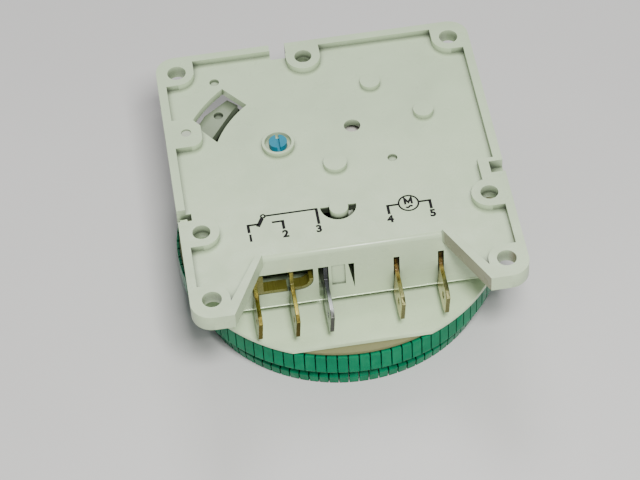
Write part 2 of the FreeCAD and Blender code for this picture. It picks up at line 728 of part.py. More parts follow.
def make_back_cover():
    """Rear plate with rim, pads and bosses, and the terminal wall below it."""
    body = new_body("back_cover")
    sketch = new_sketch(body, "XY_Plane", under_floor)
    draw_outline(sketch, plate_outline())
    pad(body, sketch, s.floor_thickness)
    sketch = new_sketch(body, "XY_Plane", under_plate)
    draw_outline(sketch, rim_outline())
    pad(body, sketch, s.plate_depth)
    add_hole_pads(body)
    add_pivot_pad(body)
    add_bosses(body)
    cut_plate_openings(body)
    add_trip_boss(body)
    cut_pivot_bores(body)
    add_terminal_wall(body)
    cut_wall_openings(body)
    round_cutout_edge(body)
    return body


def make_housing():
    """Cup that holds the movement, with a square foot and the apron under the terminals."""
    body = new_body("movement_housing")
    low = s.apron_level
    t = s.wall_thickness
    foot = foot_end
    foot_top = dial_y - s.housing_radius / 3
    pad_disc(body, 0, dial_y, s.housing_radius, low, housing_top - low)
    pad_box(body, -foot_half_width, foot_half_width, -foot, foot_top, low, housing_top - low)
    sketch = new_sketch(body, "XY_Plane", low)
    reach_x = Size("sqrt(%s * %s - %s * %s)" % (
        apron_radius.text, apron_radius.text, apron_reach.text, apron_reach.text),
        math.sqrt(float(apron_radius) ** 2 - float(apron_reach) ** 2))
    wide_x = Size("sqrt(%s * %s - %s * %s)" % (
        apron_radius.text, apron_radius.text, s.apron_cut.text, s.apron_cut.text),
        math.sqrt(float(apron_radius) ** 2 - float(s.apron_cut) ** 2))
    draw_outline(sketch, [(-wide_x, dial_y - s.apron_cut, apron_radius),
                          (-reach_x, dial_y - apron_reach),
                          (reach_x, dial_y - apron_reach, apron_radius),
                          (wide_x, dial_y - s.apron_cut)])
    pad(body, sketch, s.apron_thickness)
    # The foot's end wall stops below the terminals, which the cover's wall closes in
    sketch = new_sketch(body, "XY_Plane", tab_bottom)
    draw_box(sketch, -s.housing_radius, s.housing_radius, dial_y - s.housing_radius - 1, -foot + t)
    pocket(body, sketch, housing_top - tab_bottom, towards_plus=True)
    sketch = new_sketch(body, "XY_Plane", low + s.apron_thickness)
    draw_box(sketch, -s.housing_radius, s.housing_radius, dial_y - s.housing_radius - 1, -foot)
    pocket(body, sketch, housing_top - low, towards_plus=True)
    sketch = new_sketch(body, "XY_Plane", housing_inside)
    inner = s.housing_radius - t
    foot_half = Size("sqrt(%s * %s - %s * %s)" % (
        inner.text, inner.text, (foot - t + dial_y).text, (foot - t + dial_y).text),
        math.sqrt(float(inner) ** 2 - float(foot - t + dial_y) ** 2))
    draw_outline(sketch, [(foot_half, -foot + t, inner), (0, dial_y + inner, inner),
                          (-foot_half, -foot + t)])
    pocket(body, sketch, housing_top - housing_inside, towards_plus=True)
    sketch = new_sketch(body, "XY_Plane", housing_inside)
    draw_box(sketch, -foot_half_width + s.foot_wall, foot_half_width - s.foot_wall,
             -foot + t, foot_top)
    pocket(body, sketch, housing_top - housing_inside, towards_plus=True)
    for x, y in PILLARS:
        pad_disc(body, x, y, s.pillar_radius, housing_inside - s.gap,
                 housing_top + s.pillar_depth - housing_inside + s.gap)
    add_hook(body)
    cut_housing_openings(body)
    return body


def add_hook(body):
    """Hook of the housing that holds the plate in its left notch."""
    end = -half_width + s.side_slot / 2
    high = under_plate - s.gap
    low = s.left_notch_y - s.hook_width / 2
    pad_box(body, end, -s.housing_radius + s.wall_thickness, low, low + s.hook_width,
            high - s.hook_height, s.hook_height)
    pad_box(body, end, end + s.wall_thickness + s.gap, low, low + s.hook_width,
            high - s.hook_height, s.hook_height + s.hook_rise)


def cut_housing_openings(body):
    """Passage for the corner lever, bearings of the two arbors and seats of the fixed pins."""
    level = lever_level - s.gap * 2 - s.frame_sheet
    sketch = new_sketch(body, "XY_Plane", level)
    draw_box(sketch, -s.housing_radius, -s.sector_inner * cosine(s.sector_top_angle) + s.lever_tip,
             s.lever_y - s.lever_root, dial_y + s.housing_radius)
    pocket(body, sketch, housing_top - level, towards_plus=True)
    drill(body, [(0, dial_y)], s.arbor_radius + s.fit, housing_inside, s.housing_floor + 1)
    drill(body, [(s.setting_x, s.setting_y)], s.setting_radius + s.fit, housing_inside,
          s.housing_floor + 1)
    drill(body, [FIRST, SECOND], s.pin_radius, housing_inside, s.housing_floor / 2)
    drill(body, [MOTOR], s.pin_radius + s.fit, housing_inside, s.housing_floor / 2)


def make_frame():
    """Inner frame that carries the movement: floor, round wall and an ear under the sector window."""
    body = new_body("movement_frame")
    low = housing_inside
    t = s.frame_sheet
    outer = s.housing_radius - s.wall_thickness - s.frame_play
    high = lever_level - s.gap
    start = s.motor_y - s.frame_play
    half = Size("sqrt(%s * %s - %s * %s)" % (
        outer.text, outer.text, (start - dial_y).text, (start - dial_y).text),
        math.sqrt(float(outer) ** 2 - float(start - dial_y) ** 2))
    sketch = new_sketch(body, "XY_Plane", low)
    draw_outline(sketch, [(half, start, outer), (0, dial_y + outer, outer), (-half, start)])
    pad(body, sketch, high - low)
    inner = outer - t
    half = Size("sqrt(%s * %s - %s * %s)" % (
        inner.text, inner.text, (start - dial_y).text, (start - dial_y).text),
        math.sqrt(float(inner) ** 2 - float(start - dial_y) ** 2))
    sketch = new_sketch(body, "XY_Plane", low + t)
    draw_outline(sketch, [(half, start, inner), (0, dial_y + inner, inner), (-half, start),
                          (-half, start - 1), (half, start - 1)])
    pocket(body, sketch, high - low, towards_plus=True)
    # Ear under the sector window, notched beside the corner lever
    near = s.sector_inner - s.ear_overlap
    far = s.sector_outer + s.ear_overlap
    sketch = new_sketch(body, "XY_Plane", high - t)
    draw_outline(sketch, [
        sector_corner(near, s.sector_low_inner - s.ear_turn),
        sector_corner(far, s.sector_low_outer - s.ear_turn) + (-far,),
        sector_corner(far, s.sector_top_angle + s.ear_turn),
        sector_corner(near, s.sector_top_angle + s.ear_turn) + (near,)])
    pad(body, sketch, t)
    left = -s.ear_notch_left
    right = -s.ear_notch_right
    along = sine(s.lever_angle) / cosine(s.lever_angle)
    low_left = s.lever_y + (left - s.lever_x) * along + s.lever_tip / 2
    low_right = s.lever_y + (right - s.lever_x) * along + s.lever_tip / 2
    sketch = new_sketch(body, "XY_Plane", high - t - 1)
    draw_outline(sketch, [(left, low_left), (right, low_right), (right, half_length), (left, half_length)])
    pocket(body, sketch, t + 2, towards_plus=True)
    bearing = s.pin_radius + s.fit
    for x, y, radius in ((*CENTRE, s.setting_radius + s.gap), (*SETTING, s.setting_radius + s.gap),
                         (*FIRST, bearing), (*SECOND, bearing),
                         (*MOTOR, s.motor_radius + s.frame_play),
                         (*PILLARS[0], s.pillar_radius + s.fit), (*PILLARS[1], s.pillar_radius + s.fit)):
        drill(body, [(x, y)], radius, low + t + 1, t + 2)
    return body


def tripper_profile():
    """Section of one tripper, out from its inner face: band, waist, finger and the slot for the rail."""
    outside = s.ring_radius
    waist = outside - s.waist_set_back
    finger = outside - s.finger_set_back
    slot_low = s.rail_level - s.gap
    slot_high = s.rail_level + s.rail_thickness + s.gap
    slot_end = outside - s.fork_wall
    return [
        (tripper_inner, 0),
        (finger - 0.4, 0),
        (finger, s.finger_height),
        (waist, s.waist_low),
        (waist + 0.3, s.band_bottom - 1.2),
        (outside, s.band_bottom),
        (outside, s.band_top),
        (tripper_inner, s.band_top),
        (tripper_inner, slot_high),
        (slot_end, slot_high),
        (slot_end, slot_low),
        (tripper_inner, slot_low),
    ]


def make_tripper(name, angle):
    """One tripper, turned to its place on the dial: angle 0 points to -Y.

    The section is padded to both sides, and its flanks are cut along two radii of the dial.
    """
    body = new_body(name)
    half_angle = (pitch_angle - s.tripper_gap) / 2
    slope = sine(half_angle) / cosine(half_angle)
    half = s.ring_radius * slope
    sketch = new_sketch(body, "XZ_Plane")
    draw_outline(sketch, tripper_profile())
    section = pad(body, sketch, half * 2)
    section.SideType = "Symmetric"
    for side in (-1, 1):
        start = (tripper_inner - 1, (tripper_inner - 1) * slope * side)
        end = (s.ring_radius + 1, (s.ring_radius + 1) * slope * side)
        clear = (half + 1) * side
        corners = [start, end, (s.ring_radius + 1, clear), (tripper_inner - 1, clear)]
        sketch = new_sketch(body, "XY_Plane", -1)
        draw_outline(sketch, corners if side > 0 else corners[::-1])
        pocket(body, sketch, s.band_top + 2, towards_plus=True)
    place(body, 0, dial_y, 0, angle - 90)
    return body


def make_tripper_ring(pattern):
    """The trippers that keep one setting, as separate solids copied round the dial."""
    loose = int(s.loose_trippers)
    count = int(s.tripper_count)
    solids = []
    for index in range(loose, count):
        solid = pattern.Shape.copy()
        turn = 360.0 / count * index
        solid.rotate(FreeCAD.Vector(0, float(dial_y), 0), FreeCAD.Vector(0, 0, 1), turn)
        solids.append(solid)
    ring = doc.addObject("Part::Feature", "tripper_ring_shape")
    ring.Shape = Part.makeCompound(solids)
    return keep(ring, "tripper_ring")


def make_dial():
    """Dial: face, wall, rail for the trippers and rear flange, turned in one piece."""
    flange_low = s.band_top + s.gap / 2
    top = flange_low + s.flange_thickness
    face = s.face_level
    rim = rim_radius
    wall = rim - s.dial_wall
    flange = s.ring_radius - s.flange_set_back
    bore = s.pipe_radius + s.fit
    return turned_body("dial_disc", [[
        (bore, face),
        (rim, face),
        (rim, s.rail_level),
        (rail_radius, s.rail_level),
        (rail_radius, s.rail_level + s.rail_thickness),
        (rim, s.rail_level + s.rail_thickness),
        (rim, flange_low),
        (flange, flange_low),
        (flange, top),
        (wall, top),
        (wall, face + s.face_thickness),
        (s.hub_radius, face + s.face_thickness),
        (s.hub_radius, s.dial_gear_level + s.gear_thickness),
        (bore, s.dial_gear_level + s.gear_thickness),
    ]], 0, dial_y)


def gear_face(module, teeth, toward):
    """Flat face of a gear about the origin with a tooth centred on the angle toward.

    Each flank runs straight from root to tip. A tooth is 0.42 of the pitch wide on the pitch
    circle, which leaves the running backlash.
    """
    pitch = module * teeth / 2
    step = 2 * math.pi / teeth
    root_radius = pitch - 1.15 * module
    tip_radius = pitch + 0.85 * module
    half_pitch = 0.21 * step
    half_root = half_pitch * (1.45 if teeth > 12 else 1.2)
    half_tip = half_pitch * (0.6 if teeth > 12 else 0.5)
    points = []
    for index in range(teeth):
        middle = math.radians(toward) + index * step
        for radius, offset in ((root_radius, -half_root), (tip_radius, -half_tip),
                               (tip_radius, half_tip), (root_radius, half_root)):
            points.append(FreeCAD.Vector(radius * math.cos(middle + offset),
                                         radius * math.sin(middle + offset), 0))
    points.append(points[0])
    return Part.Face(Part.makePolygon(points))


def gear_solid(module, teeth, toward, low, height):
    face = gear_face(module, teeth, toward)
    solid = face.extrude(FreeCAD.Vector(0, 0, float(height)))
    solid.translate(FreeCAD.Vector(0, 0, float(low)))
    return solid


def rod(radius, low, high):
    return Part.makeCylinder(float(radius), float(high) - float(low), FreeCAD.Vector(0, 0, float(low)))


def add_shape(name, shape, x=0, y=0):
    """Keep a shape made with Part's own functions, placed in X and Y from the sheet."""
    feature = doc.addObject("Part::Feature", name + "_shape")
    feature.Shape = shape
    feature.Placement = FreeCAD.Placement(FreeCAD.Vector(float(x), float(y), 0), FreeCAD.Rotation())
    bind(feature, "Placement.Base.x", x)
    bind(feature, "Placement.Base.y", y)
    return keep(feature, name)


class Mesh:
    """A pair of wheels in mesh: module from the centre distance, and the line of centres."""

    def __init__(self, driver, wheel, driver_teeth, wheel_teeth):
        delta_x = float(wheel[0]) - float(driver[0])
        delta_y = float(wheel[1]) - float(driver[1])
        self.driver_teeth = int(driver_teeth)
        self.wheel_teeth = int(wheel_teeth)
        self.module = 2 * math.hypot(delta_x, delta_y) / (self.driver_teeth + self.wheel_teeth)
        self.toward_wheel = math.degrees(math.atan2(delta_y, delta_x))
        self.toward_driver = self.toward_wheel + 180 + 180.0 / self.wheel_teeth

    def driver(self, low, height):
        return gear_solid(self.module, self.driver_teeth, self.toward_wheel, low, height)

    def wheel(self, low, height):
        return gear_solid(self.module, self.wheel_teeth, self.toward_driver, low, height)


motor_mesh = Mesh(MOTOR, FIRST, s.pinion_teeth, s.train_teeth)
first_mesh = Mesh(FIRST, SECOND, s.pinion_teeth, s.train_teeth)
second_mesh = Mesh(SECOND, CENTRE, s.pinion_teeth, s.train_teeth)
minute_mesh = Mesh(CENTRE, SETTING, s.pinion_teeth, s.minute_teeth)
hour_mesh = Mesh(SETTING, CENTRE, s.pinion_teeth, s.hour_teeth)
dial_mesh = Mesh(SETTING, CENTRE, s.pinion_teeth, s.dial_teeth)


def make_wheels():
    """Gear train from the motor to the centre, and the motion work under the dial."""
    t = float(s.gear_thickness)
    leaf = 2 * t
    run = float(s.fit)
    # First wheel: its pinion drives the second wheel
    low = float(first_level)
    pinion_low = float(second_level) - 0.3
    shape = motor_mesh.wheel(low, t).fuse([
        rod(1.5, low - 0.2, pinion_low), first_mesh.driver(pinion_low, leaf - 0.4)])
    bore = rod(float(s.pin_radius) + run, low - 1, pinion_low + leaf + 1)
    add_shape("first_wheel", shape.cut(bore), *FIRST)
    # Second wheel: its pinion drives the clutch wheel
    low = float(second_level)
    pinion_low = float(clutch_level) - 0.4
    shape = first_mesh.wheel(low, t).fuse([second_mesh.driver(pinion_low, low - pinion_low)])
    bore = rod(float(s.pin_radius) + run, pinion_low - 1, low + t + 1)
    add_shape("second_wheel", shape.cut(bore), *SECOND)
    # Clutch wheel: slips on the centre arbor while the clock is set
    low = float(clutch_level)
    shape = second_mesh.wheel(low, t).fuse([rod(2.2, low - 1, low + t + 0.5)])
    add_shape("clutch_wheel", shape.cut(rod(float(s.arbor_radius) + run, low - 2, low + t + 2)), *CENTRE)
    # Hour wheel: pipe to the hour hand
    low = float(s.hour_gear_level)
    pipe_low = float(s.hour_hand_level)
    shape = hour_mesh.wheel(low, t).fuse([rod(s.pipe_radius, pipe_low, low + t)])
    bore = rod(float(s.arbor_radius) + run, pipe_low - 1, low + t + 1)
    add_shape("hour_wheel", shape.cut(bore), *CENTRE)
    # Gear under the dial, pressed on the hub
    low = float(s.dial_gear_level)
    shape = dial_mesh.wheel(low, t)
    add_shape("dial_gear", shape.cut(rod(s.hub_radius, low - 1, low + t + 1)), *CENTRE)


def make_centre_arbor():
    """Steel arbor on the dial's axis with the cannon pinion and the clutch collar."""
    low = float(s.minute_gear_level)
    top = float(boss_top) - 1.2
    clutch_top = float(clutch_level) + float(s.gear_thickness) + 0.5
    clutch_low = float(clutch_level) - 1
    collar = float(s.arbor_radius) * 1.5
    shape = rod(s.arbor_radius, s.minute_hand_level, top).fuse([
        minute_mesh.driver(low, 1.3 * float(s.gear_thickness)),
        rod(collar, clutch_top, clutch_top + 0.6),
        rod(collar, clutch_low - 1.3, clutch_low - 0.8)])
    add_shape("centre_arbor", shape, *CENTRE)
    # Dished spring washer that presses the clutch wheel against the upper collar
    inner = s.arbor_radius + s.fit
    level = clutch_level - 1
    turned_body("clutch_spring", [[
        (inner, level - 0.8), (inner + 0.4, level - 0.8), (inner + 1.2, level), (inner + 0.8, level)]],
        *CENTRE)


def make_setting_arbor():
    """Slotted setting arbor with the minute wheel and its two pinions."""
    t = float(s.gear_thickness)
    minute_low = float(s.minute_gear_level) + 0.15
    hour_low = float(s.hour_gear_level) - 0.2
    dial_low = float(s.dial_gear_level) - 0.2
    top = float(rear) - 0.1
    slot_depth = float(s.setting_slot_depth)
    slot_width = float(s.setting_slot_width)
    radius = float(s.setting_radius)
    shape = rod(radius, minute_low + t, top).fuse([
        minute_mesh.wheel(minute_low, t),
        hour_mesh.driver(hour_low, minute_low - hour_low),
        rod(0.95, dial_low, hour_low + 0.1),
        dial_mesh.driver(dial_low, 1.4 * t)])
    slot = Part.makeBox(slot_width, 2 * radius + 1, slot_depth + 1,
                        FreeCAD.Vector(-slot_width / 2, -radius - 0.5, top - slot_depth))
    add_shape("setting_arbor", shape.cut(slot), *SETTING)


def make_hand(name, level, length, bore, root_width, hub):
    """Clock hand seen from the front: round boss and a tapering blade towards +Y."""
    body = new_body(name)
    sketch = new_sketch(body, "XY_Plane", level)
    half = root_width / 2
    draw_outline(sketch, [(-half, 0), (half, 0), (half * 1.3, length * 0.7), (0, length),
                          (-half * 1.3, length * 0.7)])
    pad(body, sketch, s.hand_thickness)
    pad_disc(body, 0, 0, hub, level, s.hand_thickness)
    drill(body, [(0, 0)], bore, level + s.hand_thickness + 0.5, s.hand_thickness + 1)
    return body


def make_hands():
    hour = make_hand("hour_hand", s.hour_hand_level, s.hour_hand_length, s.pipe_radius, size_of(1.6),
                     s.pipe_radius + 1.2)
    place(hour, 0, dial_y, 0, size_of(150))
    minute = make_hand("minute_hand", s.minute_hand_level, s.minute_hand_length, s.arbor_radius,
                       size_of(1.2), s.arbor_radius + 1.2)
    place(minute, 0, dial_y, 0, size_of(60))
    clip = new_body("retaining_ring")
    level = s.face_level - 0.55
    pad_disc(clip, 0, 0, s.pipe_radius + 1.4, level, size_of(0.5))
    drill(clip, [(0, 0)], s.pipe_radius, level + 1, size_of(2))
    sketch = new_sketch(clip, "XY_Plane", level - 0.5)
    draw_box(sketch, -0.6, 0.6, 0, s.pipe_radius + 2)
    pocket(clip, sketch, size_of(2), towards_plus=True)
    place(clip, 0, dial_y, 0, size_of(-30))
    turned_body("hand_cap", [ring_profile(0, s.arbor_radius + 0.8, s.minute_hand_level - 0.7,
                                          s.minute_hand_level)], 0, dial_y)


def make_motor():
    """Synchronous motor: stator cup and plate, bobbin, winding, rotor and its pinion."""
    low = housing_inside
    top = low + motor_height
    sheet_t = s.sheet_metal
    radius = s.motor_radius
    hole = size_of(2.6)
    turned_body("stator_cup", [[
        (hole, low), (radius, low), (radius, top - sheet_t), (radius - sheet_t, top - sheet_t),
        (radius - sheet_t, low + sheet_t), (hole, low + sheet_t)]], *MOTOR)
    turned_body("stator_plate", [ring_profile(hole, radius, top - sheet_t, top)], *MOTOR)
    spool_low = low + sheet_t
    spool_high = top - sheet_t
    inner = s.bobbin_bore
    wall = s.bobbin_wall
    outer = radius - sheet_t - s.gap
    turned_body("coil_bobbin", [[
        (inner, spool_low), (outer, spool_low), (outer, spool_low + wall),
        (inner + wall, spool_low + wall), (inner + wall, spool_high - wall),
        (outer, spool_high - wall), (outer, spool_high), (inner, spool_high)]], *MOTOR)
    turned_body("coil_winding", [ring_profile(inner + wall, outer - s.gap, spool_low + wall,
                                              spool_high - wall)], *MOTOR)
    turned_body("rotor_magnet", [ring_profile(s.pin_radius, s.rotor_radius, spool_low + 0.4,
                                              spool_high - 0.4)], *MOTOR)
    pinion_low = float(first_level) - 0.3
    shaft_top = floor_level - s.blind_cap - s.gap
    shape = rod(s.pin_radius, low - s.housing_floor / 2 + 0.1, shaft_top).fuse([
        motor_mesh.driver(pinion_low, 1.6 * float(s.gear_thickness))])
    add_shape("rotor_pinion", shape, *MOTOR)
    make_motor_leads(low + motor_height)


def make_motor_leads(level):
    """Two strips from the motor terminals to the coil, over the edge of the stator plate."""
    leads = []
    for x in (s.terminal_4_x, s.terminal_5_x):
        start = -s.wall_reach + s.wall_thickness + 4
        end = s.motor_y - 5
        leads.append(Part.makeBox(0.8, float(end) - float(start), 0.5, FreeCAD.Vector(
            float(x) - 0.4, float(start), float(level))))
    feature = doc.addObject("Part::Feature", "motor_leads_shape")
    feature.Shape = Part.makeCompound(leads)
    keep(feature, "motor_leads")


def make_terminal(name, x, reach, inner_y, turn=None):
    """Tab, wide base in the wall slot, and what the terminal carries inside the housing."""
    body = new_body(name)
    t = s.sheet_metal
    tab_top = tab_bottom + s.tab_width
    shoulder = -s.wall_reach + s.gap
    root = s.wall_reach + s.gap
    sketch = new_sketch(body, "YZ_Plane", x - t / 2)
    draw_outline(sketch, [(-root - s.gap, tab_bottom), (inner_y, tab_bottom), (inner_y, base_top),
                          (shoulder, base_top), (shoulder, tab_top), (-root - s.gap, tab_top)])
    pad(body, sketch, t)
    # The tab leans a little, and its tip is chamfered above and below
    sketch = new_sketch(body, "XZ_Plane", root)
    draw_outline(sketch, [(x - t / 2 - s.tab_lean, tab_bottom), (x + t / 2 - s.tab_lean, tab_bottom),
                          (x + t / 2, tab_top), (x - t / 2, tab_top)])
    pad(body, sketch, reach - root)
    sketch = new_sketch(body, "YZ_Plane", x - t - s.tab_lean)
    tip = -reach
    draw_outline(sketch, [(tip, tab_bottom + s.tab_chamfer), (tip - 1, tab_bottom + s.tab_chamfer),
                          (tip - 1, tab_bottom - 1), (tip + s.tab_point, tab_bottom - 1),
                          (tip + s.tab_point, tab_bottom)])
    draw_outline(sketch, [(tip, tab_top - s.tab_chamfer), (tip + s.tab_point, tab_top),
                          (tip + s.tab_point, tab_top + 1), (tip - 1, tab_top + 1),
                          (tip - 1, tab_top - s.tab_chamfer)])
    draw_circle(sketch, tip + s.tab_width / 2, tab_bottom + s.tab_width / 2, s.tab_hole / 2)
    pocket(body, sketch, t * 2 + s.tab_lean, towards_plus=True)
    if turn is not None:
        ends = sorted([x, turn], key=float)
        low, high = (inner_y - t, inner_y) if float(turn) < float(x) else (inner_y, inner_y + t)
        pad_box(body, ends[0] - t / 2, ends[1] + t / 2, low, high, base_top - s.arm_height,
                s.arm_height)
    return body


def add_feet(first, second):
    """Brass feet of terminals 1 and 2 on the sill of the wall window.

    The first ends in an upright beside its terminal, the second follows the window's round corner.
    """
    t = s.sheet_metal
    low = window_bottom + s.fit
    outside = -s.wall_reach + s.gap / 2
    end = s.terminal_2_x - t / 2 - s.gap * 3
    pad_box(first, s.terminal_1_x, end, outside, outside + s.foot_reach, low, t)
    pad_box(first, s.terminal_1_x, s.terminal_1_x + s.foot_upright, outside, outside + t,
            low, base_top - low)
    centre = -s.window_right - s.window_corner
    radius = s.window_corner - s.fit
    sketch = new_sketch(second, "XZ_Plane", -outside - s.foot_reach)
    draw_outline(sketch, [(s.terminal_2_x, low), (centre, low, radius),
                          (centre + radius, low + radius), (centre + radius - t, low + radius, t - radius),
                          (centre, low + t), (s.terminal_2_x, low + t)])
    pad(second, sketch, s.foot_reach)


def make_switch():
    """Terminals 1 to 5, the contact blade with its contact and the two fixed contacts."""
    inside = -s.wall_reach + s.wall_thickness
    t = s.sheet_metal
    open_face = s.blade_y - s.moving_contact / 2 - s.contact_open_gap
    closed_face = s.blade_y + s.moving_contact / 2 + s.contact_closed_gap
    first = make_terminal("terminal_1", s.terminal_1_x, s.tab_reach, s.blade_y)
    second = make_terminal("terminal_2", s.terminal_2_x, s.contact_tab_reach,
                           open_face - s.fixed_contact - t, s.contact_x + s.contact_radius)
    add_feet(first, second)
    make_terminal("terminal_3", s.terminal_3_x, s.contact_tab_reach,
                  closed_face + s.fixed_contact + t, s.contact_x - s.contact_radius)
    make_terminal("terminal_4", s.terminal_4_x, s.tab_reach, inside + 4)
    make_terminal("terminal_5", s.terminal_5_x, s.tab_reach, inside + 4)
    level = base_top - s.blade_height / 2
    fixed = []
    for face, outward in ((open_face, -1), (closed_face, 1)):
        head = Part.makeCylinder(float(s.contact_radius), float(s.fixed_contact), FreeCAD.Vector(
            float(s.contact_x), float(face), float(level)), FreeCAD.Vector(0, outward, 0))
        fixed.append(head)
    feature = doc.addObject("Part::Feature", "fixed_contacts_shape")
    feature.Shape = Part.makeCompound(fixed)
    keep(feature, "fixed_contacts")
    make_blade(level)


def make_blade(level):
    """Contact blade: a flat spring that carries the moving contact between the fixed ones."""
    blade = new_body("contact_blade")
    start = s.terminal_1_x + s.sheet_metal / 2 + s.gap
    pad_box(blade, start, -s.blade_end, s.blade_y - s.blade_thickness / 2,
            s.blade_y + s.blade_thickness / 2, base_top - s.blade_height, s.blade_height)
    sketch = new_sketch(blade, "XZ_Plane", -s.blade_y + s.blade_thickness)
    draw_circle(sketch, s.contact_x, level, s.contact_radius / 2)
    pocket(blade, sketch, s.blade_thickness * 2)
    contact = new_body("moving_contact")
    sketch = new_sketch(contact, "XZ_Plane", -s.blade_y - s.blade_thickness / 2)
    draw_circle(sketch, s.contact_x, level, s.contact_radius / 2)
    pad(contact, sketch, s.blade_thickness)
    half = s.moving_contact / 2 - s.blade_thickness / 2
    for side in (-1, 1):
        sketch = new_sketch(contact, "XZ_Plane", -s.blade_y + s.blade_thickness / 2 * side)
        draw_circle(sketch, s.contact_x, level, s.contact_radius)
        pad(contact, sketch, half, towards_minus=side < 0)


def make_trip_lever():
    """Trip lever on a pin under its boss: a pointed arm and a fork round the blade."""
    body = new_body("trip_lever")
    high = under_plate - s.gap
    low = lever_level
    pad_disc(body, s.trip_x, s.trip_y, s.trip_hub, low, high - low)
    prong_x = -s.blade_end - s.prong_radius - 0.3
    reach = s.prong_radius * 2
    sketch = new_sketch(body, "XY_Plane", low)
    draw_outline(sketch, [(s.trip_x, s.trip_y - s.trip_hub), (s.trip_x, s.trip_y + s.trip_hub * 0.6),
                          (prong_x - s.prong_radius, s.blade_y + reach),
                          (prong_x - s.prong_radius, s.blade_y - reach - 0.2),
                          (prong_x + s.prong_radius * 2, s.blade_y - reach - 0.2)])
    pad(body, sketch, size_of(1.6))
    sketch = new_sketch(body, "XY_Plane", high - 1.2)
    draw_outline(sketch, [(s.trip_x, s.trip_y - s.trip_hub * 0.7), (s.trip_x + 3.4, s.trip_y + 2.0),
                          (s.trip_x + 3.6, s.trip_y + 3.0), (s.trip_x - 0.5, s.trip_y + s.trip_hub)])
    pad(body, sketch, size_of(1.2))
    offset = s.blade_thickness / 2 + s.prong_gap + s.prong_radius
    prong_low = base_top - s.prong_radius * 2
    for side in (-1, 1):
        pad_disc(body, prong_x, s.blade_y + offset * side, s.prong_radius, prong_low, low - prong_low)
    drill(body, [(s.trip_x, s.trip_y)], s.trip_pin + s.fit, high + 1, high - low + 2)
    turned_body("trip_pin", [ring_profile(0, s.trip_pin, low - 1, boss_top - s.blind_cap)],
                s.trip_x, s.trip_y)


def make_corner_lever():
    """Lever seen in the sector window, on its pin in the raised pad."""
    body = new_body("corner_lever")
    half_root = s.lever_root / 2
    half_tip = s.lever_tip / 2
    length = s.lever_length
    sketch = new_sketch(body, "XY_Plane", lever_level)
    draw_outline(sketch, [(0, -half_root), (length * 0.35, -half_root * 0.93),
                          (length * 0.87, -half_tip), (length, -half_tip), (length, half_tip),
                          (length * 0.59, half_root * 0.9), (length * 0.35, half_root * 0.67),
                          (0, half_root, half_root), (-half_root, 0, half_root)])
    pad(body, sketch, s.lever_thickness)
    drill(body, [(0, 0)], s.lever_pin + s.fit, lever_level + s.lever_thickness + 1,
          s.lever_thickness + 2)
    drill(body, [(length * 0.7, 0.2)], size_of(1.1), lever_level + s.lever_thickness, size_of(0.8))
    place(body, s.lever_x, s.lever_y, 0, s.lever_angle)
    head = s.lever_pin + 0.6
    low = lever_level - s.gap - 0.6
    turned_body("lever_pin", [[
        (0, low), (head, low), (head, low + 0.6), (s.lever_pin, low + 0.6), (s.lever_pin, rear - 0.4),
        (0, rear - 0.4)]], s.lever_x, s.lever_y)


def make_pins():
    """Fixed steel pins of the two train wheels, pressed into the housing's front wall."""
    low = housing_inside - s.housing_floor / 2
    for name, spot, top in (("first_pin", FIRST, under_plate - 1), ("second_pin", SECOND, under_plate - 1)):
        turned_body(name, [ring_profile(0, s.pin_radius, low, top)], *spot)


make_back_cover()
make_housing()
make_frame()
make_dial()
patterns = []
for index in range(int(s.loose_trippers)):
    patterns.append(make_tripper("tripper_%02d" % (index + 1), pitch_angle * index))
make_wheels()
make_centre_arbor()
make_setting_arbor()
make_hands()
make_motor()
make_switch()
make_trip_lever()
make_corner_lever()
make_pins()
doc.recompute()
make_tripper_ring(patterns[0])
doc.recompute()

problems = []
for thing in doc.Objects:
    if "Invalid" in thing.State or "Error" in thing.State:
        problems.append("%s is %s" % (thing.Name, thing.State))
for part in PARTS:
    if part.Shape.isNull() or not part.Shape.isValid() or not part.Shape.Solids:
        problems.append("%s has no valid solid" % part.Label)
if problems:
    raise RuntimeError("; ".join(problems))

os.makedirs("parts", exist_ok=True)
for part in PARTS:
    part.Shape.exportStep("parts/%s.step" % part.Label)
    print("%-18s %2d solids %10.2f mm3" % (part.Label, len(part.Shape.Solids), part.Shape.Volume))
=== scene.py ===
"""Looks of a plug-in time switch module, dressed over its CAD frame, in metres."""

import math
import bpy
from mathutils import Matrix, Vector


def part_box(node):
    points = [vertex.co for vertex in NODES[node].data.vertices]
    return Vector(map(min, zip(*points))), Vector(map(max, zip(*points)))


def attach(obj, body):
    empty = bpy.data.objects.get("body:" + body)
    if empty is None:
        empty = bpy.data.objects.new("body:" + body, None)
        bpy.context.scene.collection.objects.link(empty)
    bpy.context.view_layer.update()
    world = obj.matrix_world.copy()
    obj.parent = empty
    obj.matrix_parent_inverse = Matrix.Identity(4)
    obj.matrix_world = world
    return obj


bl_info = {
    "name": "Time switch module",
    "version": (1, 0, 0),
    "blender": (4, 5, 0),
    "location": "3D View > Sidebar > Time Switch",
    "description": "Finishes, printed diagram and dial scale of a time switch module",
    "category": "Object",
}

import bpy
import numpy as np
from bpy.props import FloatProperty, FloatVectorProperty, PointerProperty
from mathutils import Matrix, Vector

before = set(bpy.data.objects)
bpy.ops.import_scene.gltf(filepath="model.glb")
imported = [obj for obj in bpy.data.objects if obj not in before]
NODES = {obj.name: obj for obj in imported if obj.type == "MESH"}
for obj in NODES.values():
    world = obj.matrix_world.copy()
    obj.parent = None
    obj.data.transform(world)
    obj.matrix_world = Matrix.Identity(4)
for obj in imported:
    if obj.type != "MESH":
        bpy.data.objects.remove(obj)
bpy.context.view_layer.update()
MM = 0.001


def centre(name):
    """X and Y of the middle of a CAD node's box."""
    low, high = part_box(name)
    return (low[0] + high[0]) / 2, (low[1] + high[1]) / 2


